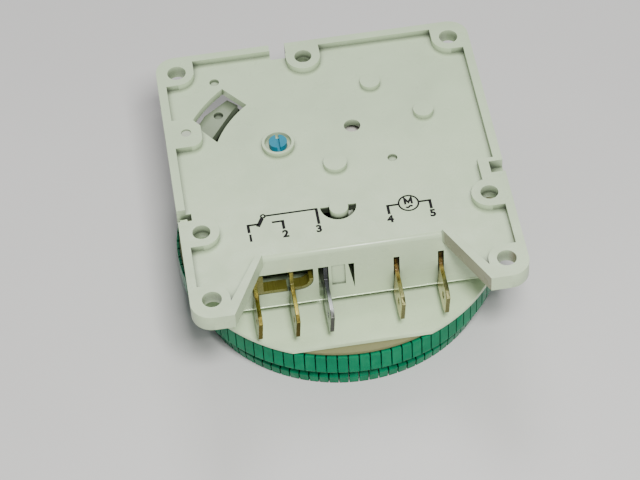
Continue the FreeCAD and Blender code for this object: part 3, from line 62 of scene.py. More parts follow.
TRIPPERS = sorted(name for name in NODES if name.startswith("tripper_"))
TERMINALS = tuple(f"terminal_{number}" for number in range(1, 6))
DIAL_CENTRE = centre("dial_disc")
DIAL_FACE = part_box("dial_disc")[0][2]
SETTING = centre("setting_arbor")

# Places on the rear plate and the housing: heights, centres, the wall behind the terminals, whose
# ends are in mm, and the radius about the dial's axis in which the terminals' space lies
PLATE_FLOOR = 34.5 * MM
HALF_MOON = (-1.25 * MM, -11.45 * MM)
WALL_FRONT = -23.6 * MM
WALL_FOOT = 18.3 * MM
WALL_ENDS = (-27.6, 27.6)
TERMINAL_SPACE = 28.7 * MM

# Where the painted shade of openings, and the painted light and shade on the terminals' sides and
# roots, start and end, in mm along X, Y, Z or a radius
COLLAR_RADIUS = (3.2, 3.4)
MOON_RADIUS = (4.2, 4.4)
UNDER_FLOOR = (33.9, 34.4)
INSIDE_RIM = ((-34.0, -33.5), (-23.0, -22.0))
RIGHT_LEG = ((17.0, 18.0), (-24.5, -23.5))
BEHIND_WALL = (-23.4, -22.6)
ABOVE_APRON = (15.0, 16.0)
BLADE_ROOT = (-25.5, -24.0)
ROOT_TOP = (25.4, 26.8)

# Edges of CAD nodes
WELD_DISTANCE = 0.000002
SHARP_ANGLE = math.radians(32)

# Printed wiring diagram, in mm: line ends with the line's width in line widths, then the numbers
DIAGRAM_LINES = (
    ([(-21.20, -13.6), (-18.9, -13.6)], 1.25),
    ([(-21.20, -15.75), (-21.20, -13.35)], 1.5),
    ([(-19.1, -14.3), (-17.95, -12.05)], 2.1),
    ([(-17.3, -11.5), (-6.05, -11.5)], 1.1),
    ([(-6.05, -11.3), (-6.05, -15.9)], 1.5),
    ([(-16.0, -13.6), (-13.65, -13.6)], 1.2),
    ([(-13.65, -13.35), (-13.65, -15.9)], 1.5),
    ([(11.65, -13.5), (9.27, -13.5)], 1.2),
    ([(9.27, -13.25), (9.27, -15.9)], 1.5),
    ([(16.1, -13.5), (18.5, -13.5)], 1.2),
    ([(18.5, -13.25), (18.5, -15.9)], 1.5),
)
DIAGRAM_NUMBERS = (
    (-21.05, -17.25, "1"), (-13.5, -17.3, "2"), (-6.25, -17.2, "3"),
    (9.27, -17.3, "4"), (18.55, -17.25, "5"),
)
NUMBER_HEIGHT = 2.1 * MM
PIVOT_RING = (-17.7 * MM, -11.5 * MM, 0.45 * MM)
MOTOR_RING = (13.87 * MM, -13.5 * MM, 2.15 * MM)
MOTOR_LETTER = ((-0.72, -0.85), (-0.72, 0.85), (0, -0.35), (0.72, 0.85), (0.72, -0.85))
LETTER_CENTRE = (13.87, -12.95)
TILDE_CENTRE = (13.87, -14.55)
TILDE_SIZE = (0.72, 0.22)

# Printed scale of the dial
QUARTERS = 96
HOURS = 24
TICK_END = 30.4
HOUR_RADIUS = 25.4 * MM
HOUR_HEIGHT = 2.5 * MM
SCALE_RING = 22.8 * MM

# Floor, lights and camera. The camera's axes are its right, down and forward in the photograph.
FLOOR_HALF = 1.6
FLOOR_LINES = 9
FLOOR_DROP = 0.00002
LIGHT_TARGET = (0.0, 0.0, 0.02)
LIGHTS = (
    ("key_light", (0.02, -0.33, 0.50), 0.11, 4.7, (1.0, 0.99, 0.97)),
    ("back_panel", (0.05, 0.47, 0.80), 0.30, 2.6, (1.0, 0.98, 1.0)),
)
SKY_COLOUR = (0.97, 0.95, 1.0)
SKY_STRENGTH = 0.31
CAMERA_PLACE = (-0.040596, -0.357661, 0.423447)
CAMERA_RIGHT = (0.988121, -0.147911, -0.041701)
CAMERA_DOWN = (-0.138773, -0.742235, -0.655614)
CAMERA_FORWARD = (0.066020, 0.653613, -0.753944)
SENSOR_WIDTH = 36
FOCAL_PIXELS = 2413.794
PHOTO_PIXELS = 640


class SwitchLook(bpy.types.PropertyGroup):
    """Colours and small sizes that change the look of the whole module."""

    cover_colour: FloatVectorProperty(
        name="Cover", description="Moulded rear plate and housing", subtype="COLOR", size=3,
        min=0, max=1, default=(0.485, 0.615, 0.395))
    tripper_colour: FloatVectorProperty(
        name="Trippers", description="Glossy tripper segments", subtype="COLOR", size=3,
        min=0, max=1, default=(0.001, 0.175, 0.078))
    dial_colour: FloatVectorProperty(
        name="Dial", description="Moulded dial under the trippers", subtype="COLOR", size=3,
        min=0, max=1, default=(0.205, 0.205, 0.095))
    arbor_colour: FloatVectorProperty(
        name="Setting arbor", description="Slotted setting arbor", subtype="COLOR", size=3,
        min=0, max=1, default=(0.001, 0.200, 0.300))
    brass_colour: FloatVectorProperty(
        name="Pale brass", description="Motor terminals", subtype="COLOR", size=3,
        min=0, max=1, default=(0.310, 0.310, 0.135))
    gold_colour: FloatVectorProperty(
        name="Golden brass", description="Terminals 1 and 2", subtype="COLOR", size=3,
        min=0, max=1, default=(0.370, 0.305, 0.070))
    ink_colour: FloatVectorProperty(
        name="Ink", description="Printed lines and numbers", subtype="COLOR", size=3,
        min=0, max=1, default=(0.012, 0.012, 0.013))
    grain: FloatProperty(
        name="Grain", description="Size of the moulded surface grain", subtype="DISTANCE",
        unit="LENGTH", min=0.00005, max=0.002, default=0.0004)
    # Painted shade: distance over which corners and holes are painted darker
    crease_reach: FloatProperty(
        name="Crease reach", description="Distance over which corners and holes look darker",
        subtype="DISTANCE", unit="LENGTH", min=0.0002, max=0.005, default=0.0016)
    edge_round: FloatProperty(
        name="Edge radius", description="Rounding of moulded edges", subtype="DISTANCE",
        unit="LENGTH", min=0.00002, max=0.0005, default=0.00016)
    bead_radius: FloatProperty(
        name="Bead", description="Rounding of the lower edge of the wall behind the terminals",
        subtype="DISTANCE", unit="LENGTH", min=0.00005, max=0.0004, default=0.00015)
    line_width: FloatProperty(
        name="Line width", description="Printed line width", subtype="DISTANCE",
        unit="LENGTH", min=0.0001, max=0.001, default=0.00042)
    ink_lift: FloatProperty(
        name="Ink lift", description="Height of the print over its surface", subtype="DISTANCE",
        unit="LENGTH", min=0.000005, max=0.0001, default=0.00002)


def look():
    """Settings that the operators read."""
    return bpy.context.scene.time_switch_look


# Materials


class Recipe:
    """A node material under construction: nodes are made and wired by short calls."""

    def __init__(self, name):
        self.material = bpy.data.materials.new(name)
        self.material.use_nodes = True
        self.tree = self.material.node_tree
        self.shader = self.tree.nodes["Principled BSDF"]
        texture = self.node("ShaderNodeTexCoord")
        self.place = texture.outputs["Object"]
        self.facing = texture.outputs["Normal"]

    def node(self, kind, **values):
        made = self.tree.nodes.new(kind)
        for key, value in values.items():
            setattr(made, key, value)
        return made

    def wire(self, source, target):
        self.tree.links.new(source, target)

    def set(self, **values):
        """Constant values, straight on the shader's sockets."""
        for key, value in values.items():
            socket = key.replace("_", " ").title().replace("Ior", "IOR")
            self.shader.inputs[socket].default_value = value

    def stretched(self, x, y, z):
        """Object coordinates scaled along each axis."""
        mapping = self.node("ShaderNodeMapping")
        mapping.inputs["Scale"].default_value = (x, y, z)
        self.wire(self.place, mapping.inputs["Vector"])
        return mapping.outputs["Vector"]

    def noise(self, scale, detail=2.0, roughness=0.5, vector=None):
        made = self.node("ShaderNodeTexNoise")
        made.inputs["Scale"].default_value = scale
        made.inputs["Detail"].default_value = detail
        made.inputs["Roughness"].default_value = roughness
        self.wire(vector or self.place, made.inputs["Vector"])
        return made.outputs["Fac"]

    def ramp(self, source, stops):
        made = self.node("ShaderNodeValToRGB")
        made.color_ramp.elements[0].position = stops[0][0]
        made.color_ramp.elements[1].position = stops[-1][0]
        for place, _ in stops[1:-1]:
            made.color_ramp.elements.new(place)
        for element, (place, colour) in zip(made.color_ramp.elements, stops):
            element.color = (*colour, 1)
        self.wire(source, made.inputs["Fac"])
        return made.outputs["Color"]

    def spread(self, source, low, high, start=0.3, end=0.7):
        """A value from low to high as the source goes from start to end."""
        made = self.node("ShaderNodeMapRange")
        values = {"From Min": start, "From Max": end, "To Min": low, "To Max": high}
        for key, value in values.items():
            made.inputs[key].default_value = value
        self.wire(source, made.inputs["Value"])
        return made.outputs["Result"]

    def fade(self, source, low, high, bounds):
        """A value from low to high between two places in mm."""
        return self.spread(source, low, high, bounds[0] * MM, bounds[1] * MM)

    def blend(self, amount, first, second):
        """Colour mix by a value: both colours are outputs or plain colours."""
        made = self.node("ShaderNodeMix", data_type="RGBA")
        self.wire(amount, made.inputs[0])
        for index, colour in ((6, first), (7, second)):
            if isinstance(colour, tuple):
                made.inputs[index].default_value = (*colour, 1)
            else:
                self.wire(colour, made.inputs[index])
        return made.outputs[2]

    def bump(self, height, strength, distance, below=None):
        made = self.node("ShaderNodeBump")
        made.inputs["Strength"].default_value = strength
        made.inputs["Distance"].default_value = distance
        self.wire(height, made.inputs["Height"])
        if below:
            self.wire(below, made.inputs["Normal"])
        return made.outputs["Normal"]

    def part(self, source, axis):
        """One of the X, Y and Z parts of a vector."""
        made = self.node("ShaderNodeSeparateXYZ")
        self.wire(source, made.inputs[0])
        return made.outputs[axis]

    def joined(self, operation, first, second):
        """One value from two by a Math node."""
        made = self.node("ShaderNodeMath", operation=operation)
        self.wire(first, made.inputs[0])
        self.wire(second, made.inputs[1])
        return made.outputs[0]

    def times(self, first, second):
        return self.joined("MULTIPLY", first, second)

    def most(self, first, second):
        return self.joined("MAXIMUM", first, second)

    def around(self, x, y):
        """Distance from an upright axis through a point."""
        mapping = self.node("ShaderNodeMapping")
        mapping.inputs["Scale"].default_value = (1, 1, 0)
        mapping.inputs["Location"].default_value = (-x, -y, 0)
        self.wire(self.place, mapping.inputs["Vector"])
        made = self.node("ShaderNodeVectorMath", operation="LENGTH")
        self.wire(mapping.outputs["Vector"], made.inputs[0])
        return made.outputs["Value"]

    def crease(self, base, dark, reach, start, end, where=None):
        """Painted shade in corners and holes: darker where other surfaces stand close."""
        made = self.node("ShaderNodeAmbientOcclusion", samples=8)
        made.inputs["Distance"].default_value = reach
        closed = self.spread(made.outputs["AO"], 0.9, 0.0, start, end)
        if where:
            closed = self.times(closed, where)
        return self.blend(closed, base, dark)

    def colour(self, source):
        self.wire(source, self.shader.inputs["Base Color"])

    def rough(self, source):
        self.wire(source, self.shader.inputs["Roughness"])

    def normal(self, source):
        self.wire(source, self.shader.inputs["Normal"])


def shade(colour, factor):
    """Colour made darker or lighter by a factor."""
    return tuple(min(1.0, channel * factor) for channel in colour)


def shade_openings(recipe, base, colour, reach):
    """Painted shade in the corners, holes and openings of the rear plate.

    Corners within the reach and deeper holes are painted darker, apart from the collar round the
    setting arbor. So are the walls that face -X in the sector window and the other openings inside
    the rim, and the round wall of the half-moon. The right leg's slanted side gets a painted brown
    shade.
    """
    clear = recipe.fade(recipe.around(*SETTING), 0.35, 1.0, COLLAR_RADIUS)
    base = recipe.crease(base, shade(colour, 0.22), reach, 0.25, 0.85, clear)
    base = recipe.crease(base, shade(colour, 0.06), reach * 4, 0.25, 0.68, clear)
    x, y = recipe.part(recipe.place, "X"), recipe.part(recipe.place, "Y")
    left = recipe.spread(recipe.part(recipe.facing, "X"), 0.92, 0.0, -0.8, -0.3)
    front = recipe.spread(recipe.part(recipe.facing, "Y"), 1.0, 0.0, -0.9, -0.5)
    not_front = recipe.spread(recipe.part(recipe.facing, "Y"), 0.0, 1.0, -0.5, -0.3)
    below = recipe.fade(recipe.part(recipe.place, "Z"), 1.0, 0.0, UNDER_FLOOR)
    inner = recipe.times(recipe.fade(x, 0.0, 1.0, INSIDE_RIM[0]),
                         recipe.fade(y, 0.0, 1.0, INSIDE_RIM[1]))
    leg = recipe.times(recipe.fade(x, 0.0, 0.85, RIGHT_LEG[0]),
                       recipe.fade(y, 1.0, 0.0, RIGHT_LEG[1]))
    moon = recipe.times(recipe.fade(recipe.around(*HALF_MOON), 0.95, 0.0, MOON_RADIUS), front)
    # Painted shade: brown on the right leg's slanted side, where it faces -X
    base = recipe.blend(recipe.times(left, leg), base, (0.20, 0.17, 0.12))
    shaded = recipe.times(recipe.times(left, not_front), inner)
    base = recipe.blend(recipe.times(shaded, below), base, shade(colour, 0.05))
    return recipe.blend(recipe.times(moon, below), base, shade(colour, 0.05))


def shade_inside(recipe, base, colour, radius):
    """Painted shade on the housing behind the terminals, within a radius of the dial's axis."""
    within = recipe.spread(recipe.around(*DIAL_CENTRE), 1.0, 0.0, radius - 0.1 * MM, radius)
    behind = recipe.fade(recipe.part(recipe.place, "Y"), 0.0, 0.8, BEHIND_WALL)
    raised = recipe.fade(recipe.part(recipe.place, "Z"), 0.0, 1.0, ABOVE_APRON)
    hidden = recipe.times(recipe.times(within, behind), raised)
    return recipe.blend(hidden, base, shade(colour, 0.1))


def moulded_plastic(name, colour, gloss=0.42, dust=0.06, reach=0.0, level=0.45, inside=0.0):
    """Moulded plastic: soft flow clouds, fine grain, dust specks and slightly uneven gloss.

    Where reach is given, corners and openings get painted shade, and where inside is given, so
    does the housing within that radius.
    """
    recipe = Recipe(name)
    grain = 1 / look().grain
    clouds = recipe.noise(70, 3, 0.55)
    base = recipe.ramp(clouds, [
        (0.30, shade(colour, 0.93)),
        (0.52, colour),
        (0.75, tuple(min(1.0, c * f) for c, f in zip(colour, (1.05, 1.04, 1.06)))),
    ])
    specks = recipe.noise(2600, 2, 0.6)
    amount = recipe.spread(specks, 0.0, dust, 0.66, 0.78)
    base = recipe.blend(amount, base, shade(colour, 0.35))
    if reach:
        base = shade_openings(recipe, base, colour, reach)
    if inside:
        base = shade_inside(recipe, base, colour, inside)
    recipe.colour(base)
    recipe.rough(recipe.spread(recipe.noise(260, 3), gloss - 0.06, gloss + 0.08))
    waviness = recipe.bump(recipe.noise(95, 2), 0.10, 0.0006)
    recipe.normal(recipe.bump(recipe.noise(grain, 3, 0.6), 0.10, 0.00006, waviness))
    recipe.set(specular_ior_level=level)
    return recipe.material


def tripper_plastic(name, colour):
    """Glossy green moulding with handling smears and a few fine scratches."""
    recipe = Recipe(name)
    clouds = recipe.noise(210, 3, 0.6)
    base = recipe.ramp(clouds, [
        (0.28, shade(colour, 0.80)), (0.50, colour), (0.76, shade(colour, 1.28))])
    # Painted shade: darker in the gaps between the segments
    recipe.colour(recipe.crease(base, shade(colour, 0.05), 0.7 * MM, 0.3, 0.9))
    smears = recipe.noise(340, 4, 0.6, recipe.stretched(1.0, 1.0, 0.4))
    recipe.rough(recipe.spread(smears, 0.12, 0.24))
    ripples = recipe.bump(recipe.noise(420, 2), 0.16, 0.00022)
    scratches = recipe.noise(900, 1, 0.5, recipe.stretched(1.0, 1.0, 6.0))
    recipe.normal(recipe.bump(scratches, 0.06, 0.00005, ripples))
    recipe.set(ior=1.18, coat_weight=0.03, coat_roughness=0.06)
    return recipe.material


def sheet_brass(name, stops, side=None, gloss=0.24, root=None):
    """Stamped metal: a colour that changes from tip to root, rolling marks and light tarnish.

    The stops are Y places in mm with their colours: the metal's own colour, with painted
    light and shade along the blade. Faces that look to -X have the side's colour, which paints
    how light falls on that side, and the upper end in the wall's slot has the root's, a painted
    shade.
    """
    recipe = Recipe(name)
    low, high = stops[0][0], stops[-1][0]
    length = recipe.fade(recipe.part(recipe.place, "Y"), 0.0, 1.0, (low, high))
    places = [((y - low) / (high - low), colour) for y, colour in stops]
    base = recipe.ramp(length, places)
    # Painted light and shade: faces that look to -X take the side's colour
    if side:
        away = recipe.spread(recipe.part(recipe.facing, "X"), 1.0, 0.0, -0.9, -0.5)
        free = recipe.fade(recipe.part(recipe.place, "Y"), 1.0, 0.0, BLADE_ROOT)
        base = recipe.blend(recipe.times(away, free), base, side)
    metal = recipe.spread(length, 1.0, 0.35, 0.7, 1.0)
    # Painted shade: the upper end in the wall's slot turns dark and fully metallic
    if root:
        upper = recipe.fade(recipe.part(recipe.place, "Z"), 0.0, 1.0, ROOT_TOP)
        base = recipe.blend(upper, base, root)
        metal = recipe.most(metal, upper)
    stained = recipe.spread(recipe.noise(240, 3, 0.55), 0.0, 0.45, 0.45, 0.75)
    recipe.colour(recipe.blend(stained, base, shade(stops[0][1], 0.55)))
    rolling = recipe.noise(260, 2, 0.5, recipe.stretched(6.0, 0.25, 6.0))
    recipe.rough(recipe.spread(rolling, gloss - 0.06, gloss + 0.10))
    dents = recipe.bump(recipe.noise(300, 1), 0.05, 0.00018)
    recipe.normal(recipe.bump(rolling, 0.05, 0.00004, dents))
    recipe.wire(metal, recipe.shader.inputs["Metallic"])
    return recipe.material


def turned_metal(name, colour, gloss=0.28):
    """Turned or ground metal with fine rings of tool marks and light staining."""
    recipe = Recipe(name)
    recipe.colour(recipe.ramp(recipe.noise(600, 3), [
        (0.3, shade(colour, 0.78)), (0.7, shade(colour, 1.1))]))
    marks = recipe.noise(1500, 2, 0.5, recipe.stretched(0.4, 0.4, 7.0))
    recipe.rough(recipe.spread(marks, gloss - 0.06, gloss + 0.14))
    recipe.normal(recipe.bump(marks, 0.12, 0.00004))
    recipe.set(metallic=1.0)
    return recipe.material


def ink(name, colour):
    """Pad-printed ink: nearly black, slightly thin in places, duller than the plastic."""
    recipe = Recipe(name)
    thin = recipe.spread(recipe.noise(5200, 2, 0.6), 0.0, 0.35, 0.58, 0.75)
    recipe.colour(recipe.blend(thin, tuple(colour), (0.10, 0.10, 0.10)))
    recipe.rough(recipe.spread(recipe.noise(2400, 2), 0.75, 0.9))
    recipe.set(specular_ior_level=0.15)
    return recipe.material


def wound_wire(name, colour):
    """Enamelled wire laid in turns: a wave along Z with a slight sway."""
    recipe = Recipe(name)
    wave = recipe.node("ShaderNodeTexWave", bands_direction="Z")
    wave.inputs["Scale"].default_value = 1300
    wave.inputs["Distortion"].default_value = 0.6
    recipe.wire(recipe.place, wave.inputs["Vector"])
    # Painted shade: the troughs between the turns are darker
    recipe.colour(recipe.ramp(wave.outputs["Fac"], [(0.0, shade(colour, 0.35)), (1.0, colour)]))
    recipe.rough(recipe.spread(wave.outputs["Fac"], 0.45, 0.22, 0, 1))
    recipe.normal(recipe.bump(wave.outputs["Fac"], 0.6, 0.0001))
    recipe.set(metallic=0.8)
    return recipe.material


def dress(material, *names):
    """Give CAD nodes a finish on their own material slots."""
    for name in names:
        node = NODES[name]
        if not node.material_slots:
            node.data.materials.append(material)
        for slot in node.material_slots:
            slot.material = material


def soften(width, *names):
    """Round the sharp edges of CAD nodes: join their loose triangles, then bevel."""
    for name in names:
        node = NODES[name]
        weld = node.modifiers.new("joined", "WELD")
        weld.merge_threshold = WELD_DISTANCE
        bevel = node.modifiers.new("rounded", "BEVEL")
        bevel.width = width
        bevel.segments = 2
        bevel.limit_method = "ANGLE"
        bevel.angle_limit = SHARP_ANGLE
        bevel.use_clamp_overlap = True
        bevel.harden_normals = False


# Flat print, as meshes


def add_mesh(name, vertices, faces, material, body):
    """Piece from vertex and face arrays that rides on a body."""
    mesh = bpy.data.meshes.new(name)
    triples = np.asarray(vertices, float).tolist()
    mesh.from_pydata(triples, [], [list(map(int, face)) for face in faces])
    mesh.update()
    piece = bpy.data.objects.new(name, mesh)
    bpy.context.scene.collection.objects.link(piece)
    mesh.materials.append(material)
    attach(piece, body)
    return piece


def ribbon(points, width):
    """Flat strip along a polyline: its points moved half a width along the mitre to each side.

    mitre = (before + after) / ((before + after) . after), with the unit normals of both lines.
    """
    points = np.asarray(points, float)
    along = np.diff(points, axis=0)
    along /= np.linalg.norm(along, axis=1)[:, None]
    normal = np.stack([-along[:, 1], along[:, 0]], axis=1)
    before = np.vstack([normal[:1], normal])
    after = np.vstack([normal, normal[-1:]])
    mitre = before + after
    mitre /= (mitre * after).sum(1)[:, None]
    left = points + mitre * width / 2
    right = points - mitre * width / 2
    count = len(points)
    first = np.arange(count - 1)
    faces = np.stack([first + count, first + count + 1, first + 1, first], axis=1)
    return np.vstack([left, right]), faces


def ring(x, y, radius, width, count=48):
    """Flat ring: circles x + r cos a, y + r sin a, half a width inside and outside the radius."""
    turn = np.linspace(0, 2 * np.pi, count, endpoint=False)
    circle = np.stack([np.cos(turn), np.sin(turn)], axis=1)
    inner = circle * (radius - width / 2) + (x, y)
    outer = circle * (radius + width / 2) + (x, y)
    first = np.arange(count)
    following = (first + 1) % count
    faces = np.stack([first, first + count, following + count, following], axis=1)
    return np.vstack([inner, outer]), faces


def glyph(text, height, bold=0.0):
    """Outline of letters as flat triangles, centred on the origin, with the given height."""
    curve = bpy.data.curves.new("lettering", "FONT")
    curve.body = text
    curve.align_x = "CENTER"
    curve.resolution_u = 6
    curve.offset = bold
    holder = bpy.data.objects.new("lettering", curve)
    bpy.context.scene.collection.objects.link(holder)
    bpy.context.view_layer.update()
    solved = holder.evaluated_get(bpy.context.evaluated_depsgraph_get())
    mesh = bpy.data.meshes.new_from_object(solved)
    flat = np.zeros(len(mesh.vertices) * 3)
    mesh.vertices.foreach_get("co", flat)
    points = flat.reshape(-1, 3)[:, :2]
    faces = [tuple(polygon.vertices) for polygon in mesh.polygons]
    bpy.data.objects.remove(holder)
    bpy.data.curves.remove(curve)
    bpy.data.meshes.remove(mesh)
    low, high = points.min(0), points.max(0)
    scale = height / (high[1] - low[1])
    return (points - (low + high) / 2) * scale, faces


def join_shapes(shapes):
    """One vertex array and one face list from several flat shapes."""
    vertices = []
    faces = []
    offset = 0
    for points, polygons in shapes:
        vertices.append(np.asarray(points, float))
        faces.extend([tuple(int(i) + offset for i in polygon) for polygon in polygons])
        offset += len(points)
    return np.vstack(vertices), faces


def moved(shape, x, y, turn=0.0):
    """Flat shape turned about its origin, then moved."""
    points, faces = shape
    c, s = math.cos(turn), math.sin(turn)
    turned = points @ np.array([[c, s], [-s, c]])
    return turned + (x, y), faces


def on_rear(shape):
    """Flat shape laid on the plate's sunk floor, facing +Z."""
    points, faces = shape
    lift = PLATE_FLOOR + look().ink_lift
    return np.column_stack([points, np.full(len(points), lift)]), faces


def on_dial(shape, level):
    """Flat shape laid under the dial's face, facing -Z, mirrored so that it reads from there."""
    points, faces = shape
    x = DIAL_CENTRE[0] - points[:, 0]
    y = DIAL_CENTRE[1] + points[:, 1]
    return np.column_stack([x, y, np.full(len(points), level)]), faces


# Operators, one for each group of pieces


class TIMESWITCH_OT_cover(bpy.types.Operator):
    """Finish the rear plate and the movement housing"""

    bl_idname = "time_switch.cover"
    bl_label = "Cover and housing"

    def execute(self, context):
        colour = tuple(look().cover_colour)
        reach = look().crease_reach
        dress(moulded_plastic("cover_plastic", colour, 0.30, reach=reach), "back_cover")
        # Painted light: cover colour made lighter on the housing; painted shade inside it
        housing = moulded_plastic("housing_plastic", shade(colour, 1.22), 0.24,
                                  inside=TERMINAL_SPACE)
        dress(housing, "movement_housing")
        # Painted shade: nearly black frame for the shade under the sector window
        dress(moulded_plastic("frame_plastic", (0.012, 0.013, 0.013), 0.42), "movement_frame")
        soften(look().edge_round, "back_cover", "movement_housing")
        self.add_bead()
        return {"FINISHED"}

    def add_bead(self):
        """Rounded lower edge of the terminal wall: y = Y0 - R sin a, z = Z0 + R + R cos a.

        Y0 is the wall's front and Z0 the height of its foot.
        """
        radius = look().bead_radius
        count = 9
        angle = np.linspace(0, np.pi, count)
        y = WALL_FRONT - radius * np.sin(angle)
        z = WALL_FOOT + radius + radius * np.cos(angle)
        ends = np.array(WALL_ENDS) * MM
        points = np.column_stack([np.repeat(ends, count), np.tile(y, 2), np.tile(z, 2)])
        first = np.arange(count - 1)
        faces = np.stack([first, first + 1, first + count + 1, first + count], axis=1)
        # Painted highlight: bead lighter than the cover, a light line along the wall's foot
        material = moulded_plastic("bead_highlight_plastic", shade(tuple(look().cover_colour), 1.5), 0.12)
        bead = add_mesh("wall_bead", points, faces, material, "base")
        bead.data.shade_smooth()


class TIMESWITCH_OT_dial(bpy.types.Operator):
    """Finish the dial and its trippers"""

    bl_idname = "time_switch.dial"
    bl_label = "Dial and trippers"

    def execute(self, context):
        dress(moulded_plastic("dial_plastic", tuple(look().dial_colour), 0.46), "dial_disc")
        dress(tripper_plastic("tripper_plastic", tuple(look().tripper_colour)), *TRIPPERS)
        soften(look().edge_round * 1.2, *TRIPPERS)
        return {"FINISHED"}


class TIMESWITCH_OT_terminals(bpy.types.Operator):
    """Finish the terminals, the contacts and the contact blade"""

    bl_idname = "time_switch.terminals"
    bl_label = "Terminals and contacts"

    def execute(self, context):
        pale, gold = tuple(look().brass_colour), tuple(look().gold_colour)
        # Painted light and shade: dark tip and bands, light -X side, dark top in the slot
        brass = sheet_brass("terminal_brass", [
            (-33.1, shade(pale, 0.5)), (-32.4, shade(pale, 0.9)), (-31.5, shade(pale, 0.8)),
            (-30.9, shade(pale, 0.42)), (-28.5, shade(pale, 0.55)), (-26.5, shade(gold, 0.65)),
            (-24.9, gold), (-23.9, (0.110, 0.072, 0.014))], side=(0.58, 0.46, 0.22),
            root=(0.012, 0.007, 0.003))
        # Painted shade: darker tip, a shaded olive end at the wall and darker -X sides
        strip = sheet_brass("gold_brass", [
            (-33.7, shade(gold, 0.22)), (-31.3, shade(gold, 0.6)), (-29.5, gold),
            (-25.4, shade(gold, 0.9)), (-24.0, (0.120, 0.118, 0.018))], side=shade(gold, 0.28))
        # Painted highlight and shade: bright middle band, darker tip, top and -X sides
        tinned = sheet_brass("tinned_brass", [
            (-33.7, (0.10, 0.105, 0.09)), (-31.6, (0.24, 0.25, 0.24)), (-29.8, (0.40, 0.42, 0.42)),
            (-27.0, (0.09, 0.10, 0.11)), (-24.0, (0.025, 0.028, 0.03))], side=(0.16, 0.18, 0.18))
        silver = turned_metal("contact_silver", (0.82, 0.81, 0.77), 0.22)
        bronze = sheet_brass("spring_bronze", [
            (-24.0, (0.60, 0.38, 0.19)), (-8.0, (0.72, 0.46, 0.24))], gloss=0.30)
        dress(strip, "terminal_1", "terminal_2")
        dress(brass, "terminal_4", "terminal_5")
        dress(tinned, "terminal_3", "motor_leads")
        dress(silver, "fixed_contacts", "moving_contact")
        dress(bronze, "contact_blade")
        soften(look().edge_round * 0.7, *TERMINALS)
        return {"FINISHED"}


class TIMESWITCH_OT_levers(bpy.types.Operator):
    """Finish the corner lever, the trip lever and the setting arbor"""

    bl_idname = "time_switch.levers"
    bl_label = "Levers and setting arbor"

    def execute(self, context):
        pale = moulded_plastic("lever_plastic", (0.42, 0.48, 0.37), 0.36)
        # Own green-grey darkened as painted shade under the plate; painted shade in its corners
        grey = moulded_plastic("corner_plastic", (0.23, 0.29, 0.19), 0.36,
                               reach=look().crease_reach)
        blue = moulded_plastic("arbor_plastic", tuple(look().arbor_colour), 0.30, level=0.2)
        dress(pale, "trip_lever", "lever_pin")
        dress(grey, "corner_lever")
        dress(blue, "setting_arbor")
        soften(look().edge_round, "corner_lever")
        return {"FINISHED"}


class TIMESWITCH_OT_movement(bpy.types.Operator):
    """Finish the motor, the wheels, the arbors and the hands"""

    bl_idname = "time_switch.movement"
    bl_label = "Motor and wheels"

    def execute(self, context):
        steel = turned_metal("turned_steel", (0.56, 0.56, 0.55))
        zinc = turned_metal("zinc_plated", (0.60, 0.61, 0.58), 0.34)
        dress(steel, "centre_arbor", "rotor_pinion", "first_pin", "second_pin", "trip_pin",
              "retaining_ring", "clutch_spring")
        dress(zinc, "stator_cup", "stator_plate")
        dress(moulded_plastic("wheel_plastic", (0.72, 0.71, 0.64), 0.40), "first_wheel",
              "second_wheel", "hour_wheel", "dial_gear")
        # Painted shade: the clutch wheel is black for the dark seen through the half-moon
        dress(moulded_plastic("black_plastic", (0.02, 0.02, 0.022), 0.45), "clutch_wheel",
              "coil_bobbin")
        dress(wound_wire("winding_wire", (0.55, 0.20, 0.06)), "coil_winding")
        dress(moulded_plastic("ferrite", (0.05, 0.05, 0.05), 0.55, 0.2), "rotor_magnet")
        dress(moulded_plastic("hand_lacquer", (0.02, 0.02, 0.02), 0.38), "hour_hand",
              "minute_hand", "hand_cap")
        return {"FINISHED"}


class TIMESWITCH_OT_diagram(bpy.types.Operator):
    """Print the wiring diagram and the terminal numbers on the rear plate"""

    bl_idname = "time_switch.diagram"
    bl_label = "Printed diagram"

    def execute(self, context):
        width = look().line_width
        black = ink("print_ink", tuple(look().ink_colour))
        shapes = [ribbon(np.array(ends) * MM, width * factor) for ends, factor in DIAGRAM_LINES]
        shapes.append(ring(*PIVOT_RING, width * 0.9, 24))
        shapes.append(ring(*MOTOR_RING, width * 0.95))
        for x, y, text in DIAGRAM_NUMBERS:
            shapes.append(moved(glyph(text, NUMBER_HEIGHT, 0.045), x * MM, y * MM))
        letter = np.array(MOTOR_LETTER) + LETTER_CENTRE
        shapes.append(ribbon(letter * MM, width * 1.15))
        shapes.append(ribbon(self.tilde() * MM, width * 1.1))
        vertices, faces = on_rear(join_shapes(shapes))
        add_mesh("wiring_diagram", vertices, faces, black, "base")
        return {"FINISHED"}

    def tilde(self):
        """Sign for alternating current: x = X0 + A u, y = Y0 + B sin(pi u), with u from -1 to 1."""
        u = np.linspace(-1, 1, 17)
        x = TILDE_CENTRE[0] + TILDE_SIZE[0] * u
        y = TILDE_CENTRE[1] + TILDE_SIZE[1] * np.sin(u * np.pi)
        return np.column_stack([x, y])


